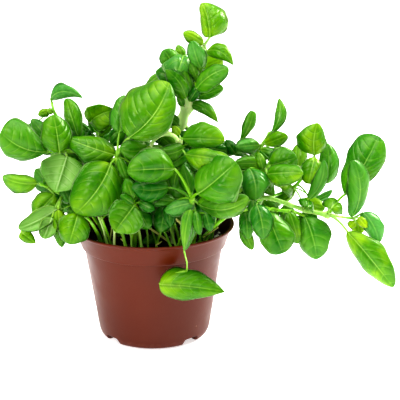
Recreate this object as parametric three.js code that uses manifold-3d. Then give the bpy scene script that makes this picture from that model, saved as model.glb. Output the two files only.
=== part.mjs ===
// A pot of kitchen basil: a moulded nursery pot, its plug of potting mix and the leafy stems rooted in it.
// Millimetres, +Z up, the pot's underside on the ground at the origin, -Y towards the viewer.
import * as THREE from 'three';
import Module from 'manifold-3d';

const wasm = await Module();
wasm.setup();

// The pot, a standard 13 cm herb pot.
const RIM_RADIUS = 65;
const POT_HEIGHT = 92;
const WALL = 1.3;
const COLLAR_FOOT = 75;
const COLLAR_RADIUS = 58;
const BODY_TOP_RADIUS = 55.9;
const BODY_FOOT_RADIUS = 45.2;
const FOOT_OUTER = 41;
const FOOT_INNER = 37.6;
const PAD_RADIUS = 15;
const FLOOR_UNDERSIDE = 6.4;
const POT_SIDES = 36;
const SOIL_SIDES = 18;
const NOTCH_TURNS = [43, 133, 223, 313];
const NOTCH_WIDTH = 15.5;
const NOTCH_HEIGHT = 5.4;
const LIP_WIDTH = 2.1;
const DRAIN_HOLES = 6;
const DRAIN_RADIUS = 3.2;
const DRAIN_RING = 26;

// The potting mix.
const SOIL_TOP = 82;
const SOIL_GAP = 0.3;
const FACET_ALLOWANCE = 0.25;
const LUMP_HEIGHT = 0.9;
const HOLE_OVER = 20;
const ROOT_DEPTH = 14;

// Leaves and stems.
const STEM_SIDES = 5;
const MIDRIB_THICK = 1.2;
const PETIOLE_START = 1.15;
const PETIOLE_MIDDLE = 0.9;
const PETIOLE_END = 0.7;
const PETIOLE_RISE = 0.1;
// A blade's half width is FILL * s^BASE * (1 - s)^TIP of half its width, s running from base to tip.
const BLADE_FILL = 2.424;
const BASE_ROUNDING = 0.55;
const TIP_ROUNDING = 0.75;
const SHORT_PETIOLE = 9;
const BASE_CLEAR = 0.18;
const BIG_LEAF = 28;
const SMALL_LEAF = 12;

// The viewer's eye, the point looked at and the downward tilt of the view.
const EYE = new THREE.Vector3(37.5, -769, 331);
const AIM = new THREE.Vector3(37.5, 0, 110.5);
const AIM_UP = 106;
const TILT = THREE.MathUtils.degToRad(16);

// The room each leaf keeps from what stands there already, and the depths it tries.
const CELL = 2.4;
const SAMPLE = 1.2;
const POT_OWNER = 30000;
const SHIFTS = [
  0, -2, 2, -4, 4, -6, 6, -8, 8, -10, 10, -13, 13, -16, 16, -20, 20, -24, 24, -28, 28, -34, 34, -40, 40,
];

// Each stem: root x and y in the soil, its path, its leaves and its hidden leaves.
// A path point is x, height and depth as seen, then the stem's radius there.
// A leaf is its place on the path, base x height depth, tip x height depth,
// width, turn about the midrib in degrees, arch, cup and sideways bow, then the share by which its left half
// is wider than its right, where they differ.
const STEMS = {
  stem_tall: {
    root: [10, 2],
    path: [[12, 100, 4, 2.6], [17, 130, 0, 2.5], [22, 162, -6, 2.8], [26, 181, -8, 4], [31, 196, -8, 1.9],
      [36, 212, -8, 1.7], [41, 230, -8, 1.4]],
    leaves: [
      [6, 46, 237, -9, 40, 263.5, -4, 23, 15, 3, 0.25, 5, -0.2],
      [6, 40, 231, -10, 24.5, 240, -16, 11, 20, 2, 0.3, 0],
      [5, 38, 212, -12, 31, 232, -22, 14, -15, 2, 0.3, 0],
      [6, 43, 225, -10, 63.5, 214, -20, 12, 10, 3, 0.3, -5],
      [5.3, 41, 213, -16, 54, 219, -24, 10, 0, 1, 0.2, 0],
      [4.2, 36, 198, -10, 60, 211, -18, 15, -20, 2, 0.3, -2],
      [3.8, 32, 190, -12, 55, 195, -26, 11, 25, 2, 0.35, 0],
      [3.2, 30, 183, -12, 51.5, 168, -22, 9.5, 10, 3, 0.4, -3.5],
      [5, 24, 219.5, -8, 19.5, 210, -26, 24, 0, 3, 0.6, 0],
      [4.7, 16, 214, -14, 7, 225, -18, 12, 0, 1, 0.3, 0],
      [5.2, 24, 220, 6, 19.5, 230, 9, 8, 0, 1, 0.2, 0],
      [4.6, 18, 204, 0, 2, 209, 4, 15, 0, 1, 0.3, 0],
      [4.4, 9, 208, 12, -8, 196, 19, 8, 20, 1, 0.2, 0],
      [3.6, 26, 189, -12, 18, 210, -18, 12, 15, 2, 0.3, 0],
      [4, 31, 194, -12, 38, 212, -16, 8, -10, 1, 0.3, 0],
      [3.6, 23, 188, 0, 16, 202, 4, 9, 0, 1, 0.2, 0],
    ],
    hidden: [
      [5, 34, 208, 2, 46, 202, 22, 15, 0, 3, 0.3, 0],
      [4.2, 28, 196, 0, 14, 192, 24, 16, 0, 3, 0.3, 0],
      [3, 29, 184, 0, 36, 174, 28, 19, 0, 3, 0.3, 0],
      [2.4, 22, 170, 2, 6, 166, 24, 19, 0, 3, 0.3, 0],
    ],
  },
  stem_left_mid: {
    root: [-9, -34],
    path: [[-14, 86, -40, 1.8], [-22, 108, -38, 1.9], [-27, 128, -38, 1.9], [-29, 140, -38, 2.6]],
    leaves: [
      [3, -19, 156, -38, 12, 200.5, -30, 42, -15, 3, 0.25, 6, 0.2],
      [3, -34, 135, -42, -62, 96, -62, 42, 10, 4, 0.25, -4],
      [3, -34, 143, -38, -70, 156, -34, 25, 20, 3, 0.3, -2],
      [3, -34, 138, -28, -65, 138, -6, 16, -20, 2, 0.3, 0],
      [3, -13, 131, -58, 9, 147, -59, 18, 10, 2, 0.3, 0],
      [3, -27, 160, -16, -23, 190, -6, 18, 0, 2, 0.3, 0],
      [2.8, -27, 136, -44, -22, 120, -50, 8, 0, 1, 0.3, 0],
    ],
    hidden: [
      [2, -26, 126, -30, -40, 116, -12, 18, 0, 2, 0.3, 0],
      [1, -20, 106, -32, -6, 104, -14, 18, 0, 2, 0.3, 0],
    ],
  },
  stem_left_back: {
    root: [-22, 12],
    path: [[-28, 110, 14, 1.5], [-36, 140, 12, 1.4], [-44, 158, 10, 1.4]],
    leaves: [
      [2, -51, 168, 4, -31, 179, -2, 24, 20, 3, -0.9, -3],
      [2, -47, 160, 6, -51, 170, 2, 6, 30, 1, 0.2, 0],
      [2, -43, 157, 4, -30, 169, -2, 7, 30, 1, 0.2, 0],
      [1.6, -41, 151, 14, -38, 163, 20, 11, 0, 1, 0.2, 0],
      [1.6, -35, 154, 16, -20, 166, 18, 11, 0, 1, 0.2, 0],
      [2, -50, 158, 12, -59, 168, 14, 7, 0, 1, 0.2, 0],
      [1.8, -47, 154, 12, -54, 162, 10, 6, 0, 1, 0.2, 0],
    ],
    hidden: [
      [1, -38, 140, 16, -50, 136, 36, 18, 0, 3, 0.3, 0],
      [0.6, -30, 130, 14, -22, 122, 34, 18, 0, 3, 0.3, 0],
    ],
  },
  stem_hook: {
    root: [16, -24],
    path: [[15, 95, -32, 2.0], [19, 125, -36, 2.0], [21, 147, -40, 2.4], [22, 155, -40, 1.6]],
    fork: [[21, 147, -40, 1.6], [18, 156, -42, 1.7], [10, 159, -43, 1.7], [2, 155, -44, 1.6],
      [-2, 149, -45, 1.3]],
    leaves: [
      [14, -5, 148, -50, -26, 147, -58, 18, -10, 2, 0.3, -2],
      [3, 24, 155, -42, 56.5, 153.5, -54, 20, 15, 2, 0.3, -1, 0.15],
      [2, 26, 142.5, -44, 62, 137.5, -60, 17, 0, 1.5, 0.3, 0, -0.25],
      [2, 18, 143, -34, 5, 147, -30, 9, 0, 1, 0.3, 0],
      [3, 21, 158, -44, 16, 165, -46, 6, 0, 1, 0.3, 0],
      [3, 36, 150, -26, 67, 143, -14, 12, 0, 2, 0.3, 0],
    ],
    hidden: [],
  },
  stem_front: {
    root: [32, -38],
    path: [[33, 86, -48, 1.9], [32, 98, -56, 2.0], [31, 107, -60, 2.6]],
    leaves: [
      [2, 16, 131.5, -64, -21, 126.5, -76, 21, 0, 2, 0.3, 0],
      [2, 36, 111, -62, 65, 137, -74, 37, -10, 4, 0.25, 2],
      [2, 32, 103, -64, 10.5, 98.5, -66, 12.5, 20, 1, 0.3, 0],
      [2, 36, 103, -62, 76, 106, -80, 20, 20, 3, 0.4, 5],
      [2, 26, 109, -50, 9, 121, -42, 20, 0, 2, 0.3, 0],
      [2, 30, 112, -50, 24, 134, -46, 12, 0, 1, 0.3, 0],
    ],
    hidden: [],
  },
  stem_drop: {
    root: [20, -45],
    path: [[27, 86, -54, 1.4], [31, 93, -61, 1.4], [30, 96, -66, 1.4], [27, 89, -71, 1.4], [24, 76, -72, 1.3],
      [25, 65, -70, 1.2], [27, 56, -66, 1.1], [27, 49, -63, 0.9]],
    leaves: [
      [7, 5, 39, -66, 57.5, 33, -68, 25, 0, 3, 0.15, -2, 0.12],
      [2, 32, 92, -70, 26, 66, -74, 7, 30, 1, 0.5, 0],
      [1, 34, 97, -64, 37, 78, -70, 8, 0, 2, 0.3, 0],
      [1, 42, 95, -66, 46, 81, -70, 9, 0, 1, 0.3, 0],
    ],
    hidden: [],
  },
  stem_right_upper: {
    root: [34, 8],
    path: [[48, 108, 0, 1.7], [66, 126, -6, 1.7], [80, 139, -10, 1.6], [88, 151, -10, 1.9],
      [93, 160, -10, 1.2]],
    leaves: [
      [2, 69, 152, -10, 81, 177, -6, 9.5, 20, 2, 0.3, 1],
      [3, 85, 150, -14, 67, 148.5, -26, 13, 0, 2, 0.3, 0],
      [4, 94, 158, -9, 101.5, 187, -4, 9.5, -20, 2, 0.4, 4.5],
      [3, 90, 151, -12, 107, 157.5, -20, 13, 10, 1, 0.3, 0],
      [3, 95, 145, -6, 112, 144, 0, 9, 0, 1, 0.3, 0],
    ],
    hidden: [
      [2, 76, 138, 2, 70, 128, 24, 18, 0, 3, 0.3, 0],
      [3, 86, 147, 4, 80, 143, 28, 17, 0, 3, 0.3, 0],
      [1, 62, 124, 4, 54, 130, 30, 20, 0, 3, 0.3, 0],
      [4, 94, 158, -2, 102, 158, 16, 12, 0, 2, 0.3, 0],
    ],
  },
  stem_right_mid: {
    root: [42, -20],
    path: [[54, 98, -28, 1.8], [70, 114, -34, 1.8], [83, 126, -38, 1.7], [90, 131, -40, 1.9]],
    leaves: [
      [3, 94, 134, -42, 115, 140, -48, 20, 10, 1, 0.3, 0],
      [3, 91, 126.5, -44, 120, 127.5, -56, 17.5, -15, 2, 0.3, 0],
      [2.4, 77, 131, -44, 82, 106.5, -60, 22, 0, 3, 0.3, -2],
      [3, 87, 135.5, -40, 65, 135, -44, 12, 0, 1, 0.3, 0],
    ],
    hidden: [
      [1, 70, 116, -26, 64, 118, -8, 18, 0, 2, 0.3, 0],
      [2, 86, 123, -28, 96, 121, -8, 16, 0, 2, 0.3, 0],
    ],
  },
  stem_far_right: {
    root: [48, 4],
    path: [[66, 100, -2, 1.8], [92, 108, -6, 1.7], [112, 116, -10, 1.6], [122, 128, -12, 1.6],
      [129, 140, -14, 1.8]],
    leaves: [
      [3, 118, 131, -6, 120, 150, -2, 12, 0, 1, 0.3, 0],
      [4, 129, 142, -15, 131, 167.5, -14, 24, 10, 2, 0.3, -2],
      [3.2, 138, 119, -8, 139, 151.5, -2, 17, 0, 2, 0.3, 2],
      [4, 129, 140, -20, 124, 120, -34, 14, 0, 2, 0.3, 0],
      [2.2, 125, 107, -22, 137, 137.5, -26, 11.5, 20, 2, 0.3, 3],
      [2, 128, 106, -8, 143.5, 114, -6, 6, 0, 1, 0.3, 1.5],
      [2, 119, 105, -16, 137, 99, -26, 12, 0, 1, 0.3, 0],
      [2, 114, 116, -20, 92, 106, -34, 8, 0, 2, 0.3, -4],
      [2, 104, 105, -22, 88, 102, -36, 7, 0, 1, 0.3, 0],
    ],
    hidden: [
      [1, 88, 106, 4, 82, 96, 28, 20, 0, 3, 0.3, 0],
      [3, 121, 128, -2, 124, 122, 16, 16, 0, 3, 0.3, 0],
      [1.6, 102, 116, 4, 108, 118, 26, 18, 0, 3, 0.3, 0],
    ],
  },
  stem_long_right: {
    root: [45, -11],
    path: [[62, 97, -30, 2.2], [74, 105, -38, 2.2], [88, 108, -42, 2.1], [100, 105.5, -44, 2.1],
      [120, 98.5, -46, 2.0],
      [138, 94.3, -46, 2.6], [142, 94, -46, 1.8], [150, 92.5, -46, 1.3], [160, 91.3, -46, 1.2]],
    leaves: [
      [5.6, 156, 113, -42, 181.5, 156, -34, 35, -10, 3, 0.25, 4, 0.35],
      [8, 161, 94, -50, 160, 137, -60, 17, 20, 3, 0.5, 5],
      [8, 168, 95.5, -48, 180.5, 71.5, -56, 13.5, 0, 2, 0.3, -2.5],
      [5.6, 155.5, 80.5, -50, 194, 34, -60, 24, 15, 4, 0.3, -2],
      [8, 163, 89, -50, 165, 79, -56, 12, 0, 1, 0.3, 0],
      [8, 164, 91, -46, 170, 86, -44, 7, 0, 0.5, 0.3, 0],
    ],
    hidden: [
      [4, 124, 100, -36, 120, 105, -14, 16, 0, 3, 0.3, 0],
      [5.4, 142, 99, -34, 149, 104, -12, 17, 0, 3, 0.3, 0],
    ],
  },
  stem_low_right: {
    root: [37, -29],
    path: [[58, 92, -44, 1.8], [72, 98, -52, 1.8], [84, 100, -56, 1.7], [98, 98, -58, 1.6],
      [110, 97, -59, 1.5],
      [117, 95, -59, 1.3]],
    leaves: [
      [5, 121.5, 93, -60, 132, 58.5, -70, 26, 10, 3, 0.3, -2],
      [4, 109, 96, -61, 116, 71, -64, 13, -20, 2, 0.3, 0],
      [3, 91, 96, -62, 105, 64, -74, 25, 0, 3, 0.3, 0],
      [2, 83, 102, -60, 88, 75, -68, 14, 0, 2, 0.3, -1],
      [2, 80, 106, -60, 81.5, 90, -66, 10, 0, 1, 0.3, 0],
      [1, 74, 95, -56, 75, 76, -62, 11, 0, 2, 0.3, 0],
      [1, 70, 88, -64, 79, 66, -66, 9, 0, 1, 0.3, 0],
    ],
    hidden: [],
  },
  stem_centre_low: {
    root: [-14, -40],
    path: [[-16, 85, -50, 1.5], [-16, 96, -56, 1.5], [-15, 103, -58, 1.9]],
    leaves: [
      [2, -17, 99, -62, -30, 82, -76, 25, 0, -2, -0.6, 0],
      [2, -16, 107, -58, -22, 123, -56, 12, 0, 1, 0.3, 0],
      [2, -10, 105, -60, 3, 109, -66, 9, 0, 1, 0.3, 0],
      [2, -12, 99, -62, -3, 86, -68, 10, 0, 1, 0.3, 0],
      [2, -11, 109, -52, 8, 118, -48, 12, 0, 1, 0.3, 0],
    ],
    hidden: [],
  },
  stem_small: {
    root: [4, -42],
    path: [[8, 86, -50, 1.3], [10, 102, -50, 1.3]],
    leaves: [
      [1, 9, 104, -53, 4, 83.5, -62, 14.5, 0, 2, 0.3, 0],
    ],
    hidden: [],
  },
  stem_left_a: {
    root: [-28, -4],
    path: [[-34, 98, -8, 1.9], [-44, 124, -12, 1.9], [-56, 143, -18, 1.8], [-71, 145, -24, 2.2],
      [-84, 144.5, -26, 1.2]],
    leaves: [
      [2.5, -62, 158, -18, -70.5, 187, -12, 13, -20, 2, 0.3, 1],
      [3, -75, 147, -24, -79.5, 176.5, -22, 25, 10, 2, 0.3, 0],
      [4, -85, 145.5, -27, -123.5, 162, -32, 31, -10, 3, 0.25, -5, -0.4],
      [3.5, -84, 154, -14, -97, 171, -8, 12, 0, 1, 0.3, 0],
      [3, -69, 141, -28, -78, 112, -44, 33, 180, 3, 0.3, 0],
    ],
    hidden: [
      [1, -46, 122, -4, -56, 114, 18, 20, 0, 3, 0.3, 0],
    ],
  },
  stem_left_b: {
    root: [-30, 12],
    path: [[-42, 110, 14, 1.6], [-58, 142, 8, 1.5], [-72, 166, 2, 1.4], [-79, 176, 0, 1.4],
      [-81, 184, -1, 1.2]],
    leaves: [
      [4, -82, 187, -3, -57, 187, -10, 12, 20, 3, 0.3, -7],
      [3, -83, 177, -2, -92, 174, -4, 7, 0, 1, 0.3, 0],
      [3, -94, 167, 0, -102, 160, 2, 7, 0, 1, 0.3, 0],
    ],
    hidden: [
      [1.6, -62, 153, 12, -54, 158, 32, 14, 0, 2, 0.3, 0],
      [1, -58, 140, 14, -68, 132, 34, 18, 0, 3, 0.3, 0],
    ],
  },
  stem_left_low: {
    root: [-38, -18],
    path: [[-46, 90, -24, 1.8], [-58, 104, -30, 1.8], [-72, 110, -34, 1.7], [-84, 116, -34, 1.6],
      [-91, 119, -34, 1.4]],
    leaves: [
      [4, -93, 119.5, -36, -121.5, 123.5, -42, 16, 0, 2, 0.3, 0],
      [2.6, -80, 113, -26, -94, 131, -18, 17, 0, 1, 0.3, 0],
      [3, -81, 109, -38, -95, 93.5, -46, 17, 0, 1, 0.3, 0],
      [2, -77, 98.5, -42, -108, 83, -54, 15, 180, 3, 0.3, 1],
      [2, -81, 92, -54, -87.5, 75, -58, 14, 180, 1, 0.3, 0],
      [2, -76, 98, -24, -73, 68, -28, 12, 0, 2, 0.3, 0],
      [1.5, -64, 101, -36, -82, 107, -38, 16, 0, 1, 0.3, 0],
    ],
    hidden: [
      [1, -56, 103, -18, -60, 105, 6, 18, 0, 3, 0.3, 0],
    ],
  },
  stem_left_front: {
    root: [-38, -34],
    path: [[-48, 86, -42, 1.5], [-54, 93, -48, 1.5]],
    leaves: [
      [1, -60, 95, -50, -67, 71, -62, 25, 0, 3, 0.4, 0],
      [1, -51, 97, -46, -46, 111, -44, 12, 0, 1, 0.3, 0],
    ],
    hidden: [],
  },
  stem_left_thin: {
    root: [-31, -38],
    path: [[-41, 91, -46, 1.3], [-47, 105, -44, 1.2]],
    leaves: [
      [1, -51, 107, -45, -62, 116, -46, 13, 0, 1, 0.3, 0],
      [1, -44, 108, -34, -38, 121, -28, 13, 0, 1, 0.3, 0],
    ],
    hidden: [],
  },
  stem_back_a: {
    root: [-10, 20],
    path: [[-14, 110, 26, 1.9], [-18, 140, 30, 1.8], [-20, 160, 32, 1.7], [-20, 171, 32, 1.2]],
    leaves: [],
    hidden: [
      [3, -23, 172, 34, -32, 170, 52, 16, 0, 2, 0.3, 0],
      [3, -16, 172, 32, -3, 174, 44, 16, 0, 2, 0.3, 0],
      [2, -24, 160, 32, -43, 154, 42, 22, 0, 3, 0.3, 0],
      [2, -18, 158, 38, -8, 148, 62, 24, 0, 3, 0.3, 0],
      [1, -22, 140, 34, -38, 128, 58, 24, 0, 3, 0.3, 0],
      [1, -14, 139, 28, 8, 134, 34, 22, 0, 3, 0.3, 0],
    ],
  },
  stem_back_b: {
    root: [15, 25],
    path: [[20, 108, 32, 2.0], [26, 138, 38, 1.9], [30, 160, 40, 1.6], [30, 170, 40, 1.2]],
    leaves: [],
    hidden: [
      [3, 33, 171, 42, 45, 171, 58, 15, 0, 2, 0.3, 0],
      [3, 27, 171, 40, 17, 174, 52, 14, 0, 2, 0.3, 0],
      [2, 35, 160, 42, 56, 154, 50, 22, 0, 3, 0.3, 0],
      [2, 27, 156, 46, 18, 142, 70, 24, 0, 3, 0.3, 0],
      [1, 31, 138, 42, 50, 126, 62, 24, 0, 3, 0.3, 0],
      [1, 21, 136, 40, 6, 124, 62, 24, 0, 3, 0.3, 0],
    ],
  },
  stem_back_c: {
    root: [38, 28],
    path: [[50, 104, 36, 1.8], [66, 124, 42, 1.7], [76, 140, 44, 1.4]],
    leaves: [],
    hidden: [
      [2, 81, 144, 46, 94, 144, 60, 17, 0, 2, 0.3, 0],
      [2, 73, 144, 46, 62, 146, 60, 16, 0, 2, 0.3, 0],
      [1, 72, 124, 44, 92, 116, 54, 22, 0, 3, 0.3, 0],
      [1, 62, 120, 48, 56, 104, 70, 22, 0, 3, 0.3, 0],
      [0, 55, 106, 38, 74, 102, 52, 19, 0, 3, 0.3, 0],
    ],
  },
  stem_back_d: {
    root: [-34, 28],
    path: [[-44, 104, 34, 1.8], [-56, 126, 40, 1.7], [-64, 142, 42, 1.4]],
    leaves: [],
    hidden: [
      [2, -68, 145, 44, -82, 144, 56, 16, 0, 2, 0.3, 0],
      [2, -60, 146, 44, -50, 146, 60, 16, 0, 2, 0.3, 0],
      [1, -61, 128, 42, -82, 124, 48, 21, 0, 3, 0.3, 0],
      [1, -53, 126, 46, -48, 122, 70, 20, 0, 3, 0.3, 0],
      [0, -49, 106, 36, -68, 102, 48, 19, 0, 3, 0.3, 0],
    ],
  },
  stem_back_e: {
    root: [0, 38],
    path: [[2, 108, 44, 1.7], [4, 124, 54, 1.6], [4, 138, 58, 1.3]],
    leaves: [],
    hidden: [
      [2, 4, 142, 62, 3, 147, 82, 17, 0, 2, 0.3, 0],
      [1.9, 9, 134, 60, 22, 127, 84, 19, 0, 3, 0.3, 0],
      [1.8, -1, 134, 62, -16, 129, 82, 19, 0, 3, 0.3, 0],
      [1, 8, 122, 59, 20, 110, 84, 22, 0, 3, 0.3, 0],
      [0.4, -2, 114, 52, -16, 110, 78, 20, 0, 3, 0.3, 0],
    ],
  },
  stem_back_f: {
    root: [24, 34],
    path: [[34, 106, 44, 1.5], [42, 118, 54, 1.4]],
    leaves: [],
    hidden: [
      [1, 46, 119, 56, 62, 112, 72, 20, 0, 3, 0.3, 0],
      [1, 41, 119, 59, 36, 112, 84, 20, 0, 3, 0.3, 0],
      [0, 39, 109, 48, 50, 110, 68, 16, 0, 3, 0.3, 0],
    ],
  },
  stem_back_g: {
    root: [-24, 36],
    path: [[-32, 104, 44, 1.5], [-40, 116, 54, 1.4]],
    leaves: [],
    hidden: [
      [1, -44, 115, 60, -60, 106, 76, 20, 0, 3, 0.3, 0],
      [1, -38, 118, 59, -33, 111, 84, 20, 0, 3, 0.3, 0],
    ],
  },
};

// A place seen at x and up on the upright plane through the pot's axis, moved along the sight line
// to depth y.
function seen(x, up, y) {
  const rise = up - AIM_UP;
  const focus = new THREE.Vector3(x, AIM.y + rise * Math.sin(TILT), AIM.z + rise * Math.cos(TILT));
  return EYE.clone().lerp(focus, (y - EYE.y) / (focus.y - EYE.y));
}

// A closed solid from points and triangles.
function solidOf(points, triangles) {
  const mesh = new wasm.Mesh({
    numProp: 3,
    vertProperties: new Float32Array(points.flatMap((p) => [p.x, p.y, p.z])),
    triVerts: new Uint32Array(triangles.flat()),
  });
  return new wasm.Manifold(mesh);
}

// A solid from a closed three.js geometry.
function solidFrom(geometry) {
  const place = geometry.attributes.position;
  const points = [];
  const known = new Map();
  const index = [];
  for (let i = 0; i < place.count; i++) {
    const p = new THREE.Vector3().fromBufferAttribute(place, i);
    const key = [p.x, p.y, p.z].map((v) => Math.round(v * 1e4)).join(' ');
    if (!known.has(key)) {
      known.set(key, points.length);
      points.push(p);
    }
    index.push(known.get(key));
  }
  const corner = geometry.index ? Array.from(geometry.index.array) : index.map((_, i) => i);
  const triangles = [];
  for (let i = 0; i < corner.length; i += 3) {
    const t = [index[corner[i]], index[corner[i + 1]], index[corner[i + 2]]];
    if (t[0] !== t[1] && t[1] !== t[2] && t[2] !== t[0]) triangles.push(t);
  }
  return solidOf(points, triangles);
}

// A shape turned about Y stood up along Z.
function upright(geometry) {
  geometry.rotateX(Math.PI / 2);
  return geometry;
}

// A tube of straight lengths through the points, radii per point, closed at both ends.
function tube(points, radii, sides) {
  const ring = [];
  const triangles = [];
  let across = new THREE.Vector3(1, 0.3, 0.1);
  points.forEach((p, i) => {
    const before = points[Math.max(0, i - 1)];
    const after = points[Math.min(points.length - 1, i + 1)];
    const along = after.clone().sub(before).normalize();
    across = across.clone().addScaledVector(along, -across.dot(along)).normalize();
    const other = along.clone().cross(across);
    for (let k = 0; k < sides; k++) {
      const a = 2 * Math.PI * k / sides;
      const corner = p.clone().addScaledVector(across, Math.cos(a) * radii[i]);
      ring.push(corner.addScaledVector(other, Math.sin(a) * radii[i]));
    }
  });
  for (let i = 0; i + 1 < points.length; i++) {
    for (let k = 0; k < sides; k++) {
      const a = i * sides + k;
      const b = i * sides + (k + 1) % sides;
      triangles.push([a, b, b + sides], [a, b + sides, a + sides]);
    }
  }
  const last = (points.length - 1) * sides;
  for (let k = 1; k + 1 < sides; k++) {
    triangles.push([0, k + 1, k], [last, last + k, last + k + 1]);
  }
  return { points: ring, triangles };
}

// Half the width of a blade at s along its midrib, widest at about two fifths.
function halfWidth(s, wide) {
  return 0.5 * wide * BLADE_FILL * s ** BASE_ROUNDING * (1 - s) ** TIP_ROUNDING;
}

// The frame of a blade: its run from base to tip, the way its upper face looks and its right-hand side.
function bladeFrame(base, tip, turn, sky) {
  const run = tip.clone().sub(base);
  const along = run.clone().normalize();
  const middle = base.clone().add(tip).multiplyScalar(0.5);
  const outward = new THREE.Vector3(middle.x, middle.y, 0).normalize().multiplyScalar(0.6).setZ(1);
  const toward = sky ? outward : EYE.clone().sub(middle);
  toward.normalize();
  const face = toward.addScaledVector(along, -toward.dot(along)).normalize();
  face.applyAxisAngle(along, THREE.MathUtils.degToRad(turn));
  return { run, face, side: along.clone().cross(face) };
}

// A point of the blade's middle surface at s along and t across, t below 0 on its left.
function bladePoint(leaf, s, t) {
  const h = halfWidth(s, leaf.wide) * (1 - leaf.lean * Math.sign(t));
  const hump = 4 * s * (1 - s);
  return leaf.base.clone()
    .addScaledVector(leaf.run, s)
    .addScaledVector(leaf.face, leaf.arch * hump - leaf.cup * h * t * t)
    .addScaledVector(leaf.side, h * t + leaf.sway * hump);
}

// The stations along a blade and the places across it, more of both on a big one.
function layout(wide) {
  if (wide >= BIG_LEAF) return { stations: [0.08, 0.24, 0.45, 0.68, 0.88], crosses: [-1, -0.55, 0, 0.55, 1] };
  if (wide >= SMALL_LEAF) return { stations: [0.1, 0.34, 0.6, 0.84], crosses: [-1, 0, 1] };
  return { stations: [0.16, 0.5, 0.8], crosses: [-1, 0, 1] };
}

// The blade's middle surface as points and triangles.
function bladeSheet(leaf) {
  const { stations, crosses } = layout(leaf.wide);
  const n = crosses.length;
  const points = [bladePoint(leaf, 0, 0)];
  const triangles = [];
  stations.forEach((s) => crosses.forEach((t) => points.push(bladePoint(leaf, s, t))));
  points.push(bladePoint(leaf, 1, 0));
  const end = points.length - 1;
  const first = end - n;
  for (let k = 0; k + 1 < n; k++) {
    triangles.push([0, 2 + k, 1 + k], [end, first + k, first + k + 1]);
  }
  for (let i = 0; i + 1 < stations.length; i++) {
    for (let k = 0; k + 1 < n; k++) {
      const a = 1 + i * n + k;
      triangles.push([a, a + 1, a + n], [a + 1, a + n + 1, a + n]);
    }
  }
  return { points, triangles };
}

// A leaf in one closed skin: rings along the petiole, then rings round the blade's sections, then the tip.
// Both faces of the blade are split into triangles alike.
function leafSolid(leaf, line, radii) {
  const { stations, crosses } = layout(leaf.wide);
  const n = crosses.length;
  const count = 2 * n - 2;
  const rings = [];
  let across = leaf.side;
  for (let i = line.length - 1; i >= 0; i--) {
    const way = i + 1 < line.length ? line[i + 1].clone().sub(line[i]) : leaf.run.clone();
    way.normalize();
    across = across.clone().addScaledVector(way, -across.dot(way)).normalize();
    const up = across.clone().cross(way);
    const ring = [];
    for (let k = 0; k < count; k++) {
      const a = 2 * Math.PI * k / count;
      const corner = line[i].clone().addScaledVector(across, -Math.cos(a) * radii[i]);
      ring.push(corner.addScaledVector(up, Math.sin(a) * radii[i]));
    }
    rings.unshift(ring);
  }
  for (const s of stations) {
    const skin = (sign) => crosses.map(
      (t) => bladePoint(leaf, s, t).addScaledVector(leaf.face, sign * 0.5 * MIDRIB_THICK * (1 - t * t)),
    );
    const upper = skin(1);
    const lower = skin(-1);
    rings.push([...upper, ...lower.slice(1, -1).reverse()]);
  }
  const points = [...rings.flat(), bladePoint(leaf, 1, 0)];
  const end = points.length - 1;
  const triangles = [];
  for (let i = 0; i + 1 < rings.length; i++) {
    for (let k = 0; k < count; k++) {
      const a = i * count + k;
      const b = i * count + (k + 1) % count;
      if (k < n - 1) triangles.push([a, b, b + count], [a, b + count, a + count]);
      else triangles.push([a, b, a + count], [b, b + count, a + count]);
    }
  }
  const last = (rings.length - 1) * count;
  for (let k = 0; k < count; k++) triangles.push([last + k, last + (k + 1) % count, end]);
  for (let k = 1; k + 1 < count; k++) triangles.push([0, k + 1, k]);
  return solidOf(points, triangles);
}

// Where things stand already, by cells of the room around the plant.
const ROOM_LOW = new THREE.Vector3(-150, -130, -10);
const ROOM_CELLS = [156, 116, 130];
const room = new Int16Array(ROOM_CELLS[0] * ROOM_CELLS[1] * ROOM_CELLS[2]);

function cellOf(p, dx, dy, dz) {
  const i = Math.floor((p.x - ROOM_LOW.x) / CELL) + dx;
  const j = Math.floor((p.y - ROOM_LOW.y) / CELL) + dy;
  const k = Math.floor((p.z - ROOM_LOW.z) / CELL) + dz;
  return (i * ROOM_CELLS[1] + j) * ROOM_CELLS[2] + k;
}

function mark(samples, owner) {
  for (const p of samples) {
    for (let n = 0; n < 27; n++) {
      const cell = cellOf(p, n % 3 - 1, Math.floor(n / 3) % 3 - 1, Math.floor(n / 9) - 1);
      if (room[cell] === 0) room[cell] = owner;
    }
  }
}

// Points spread over a sheet's triangles, closer together than a cell.
function spread(points, triangles) {
  const samples = [];
  for (const [a, b, c] of triangles) {
    const ab = points[b].clone().sub(points[a]);
    const ac = points[c].clone().sub(points[a]);
    const n = Math.ceil(Math.max(ab.length(), ac.length(), points[b].distanceTo(points[c])) / SAMPLE);
    for (let i = 0; i <= n; i++) {
      for (let j = 0; i + j <= n; j++) {
        samples.push(points[a].clone().addScaledVector(ab, i / n).addScaledVector(ac, j / n));
      }
    }
  }
  return samples;
}

// The point at a place along a line of points, 1.5 being half-way from the second to the third.
function along(points, place) {
  const i = Math.min(Math.floor(place), points.length - 2);
  return points[i].clone().lerp(points[i + 1], place - i);
}

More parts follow.
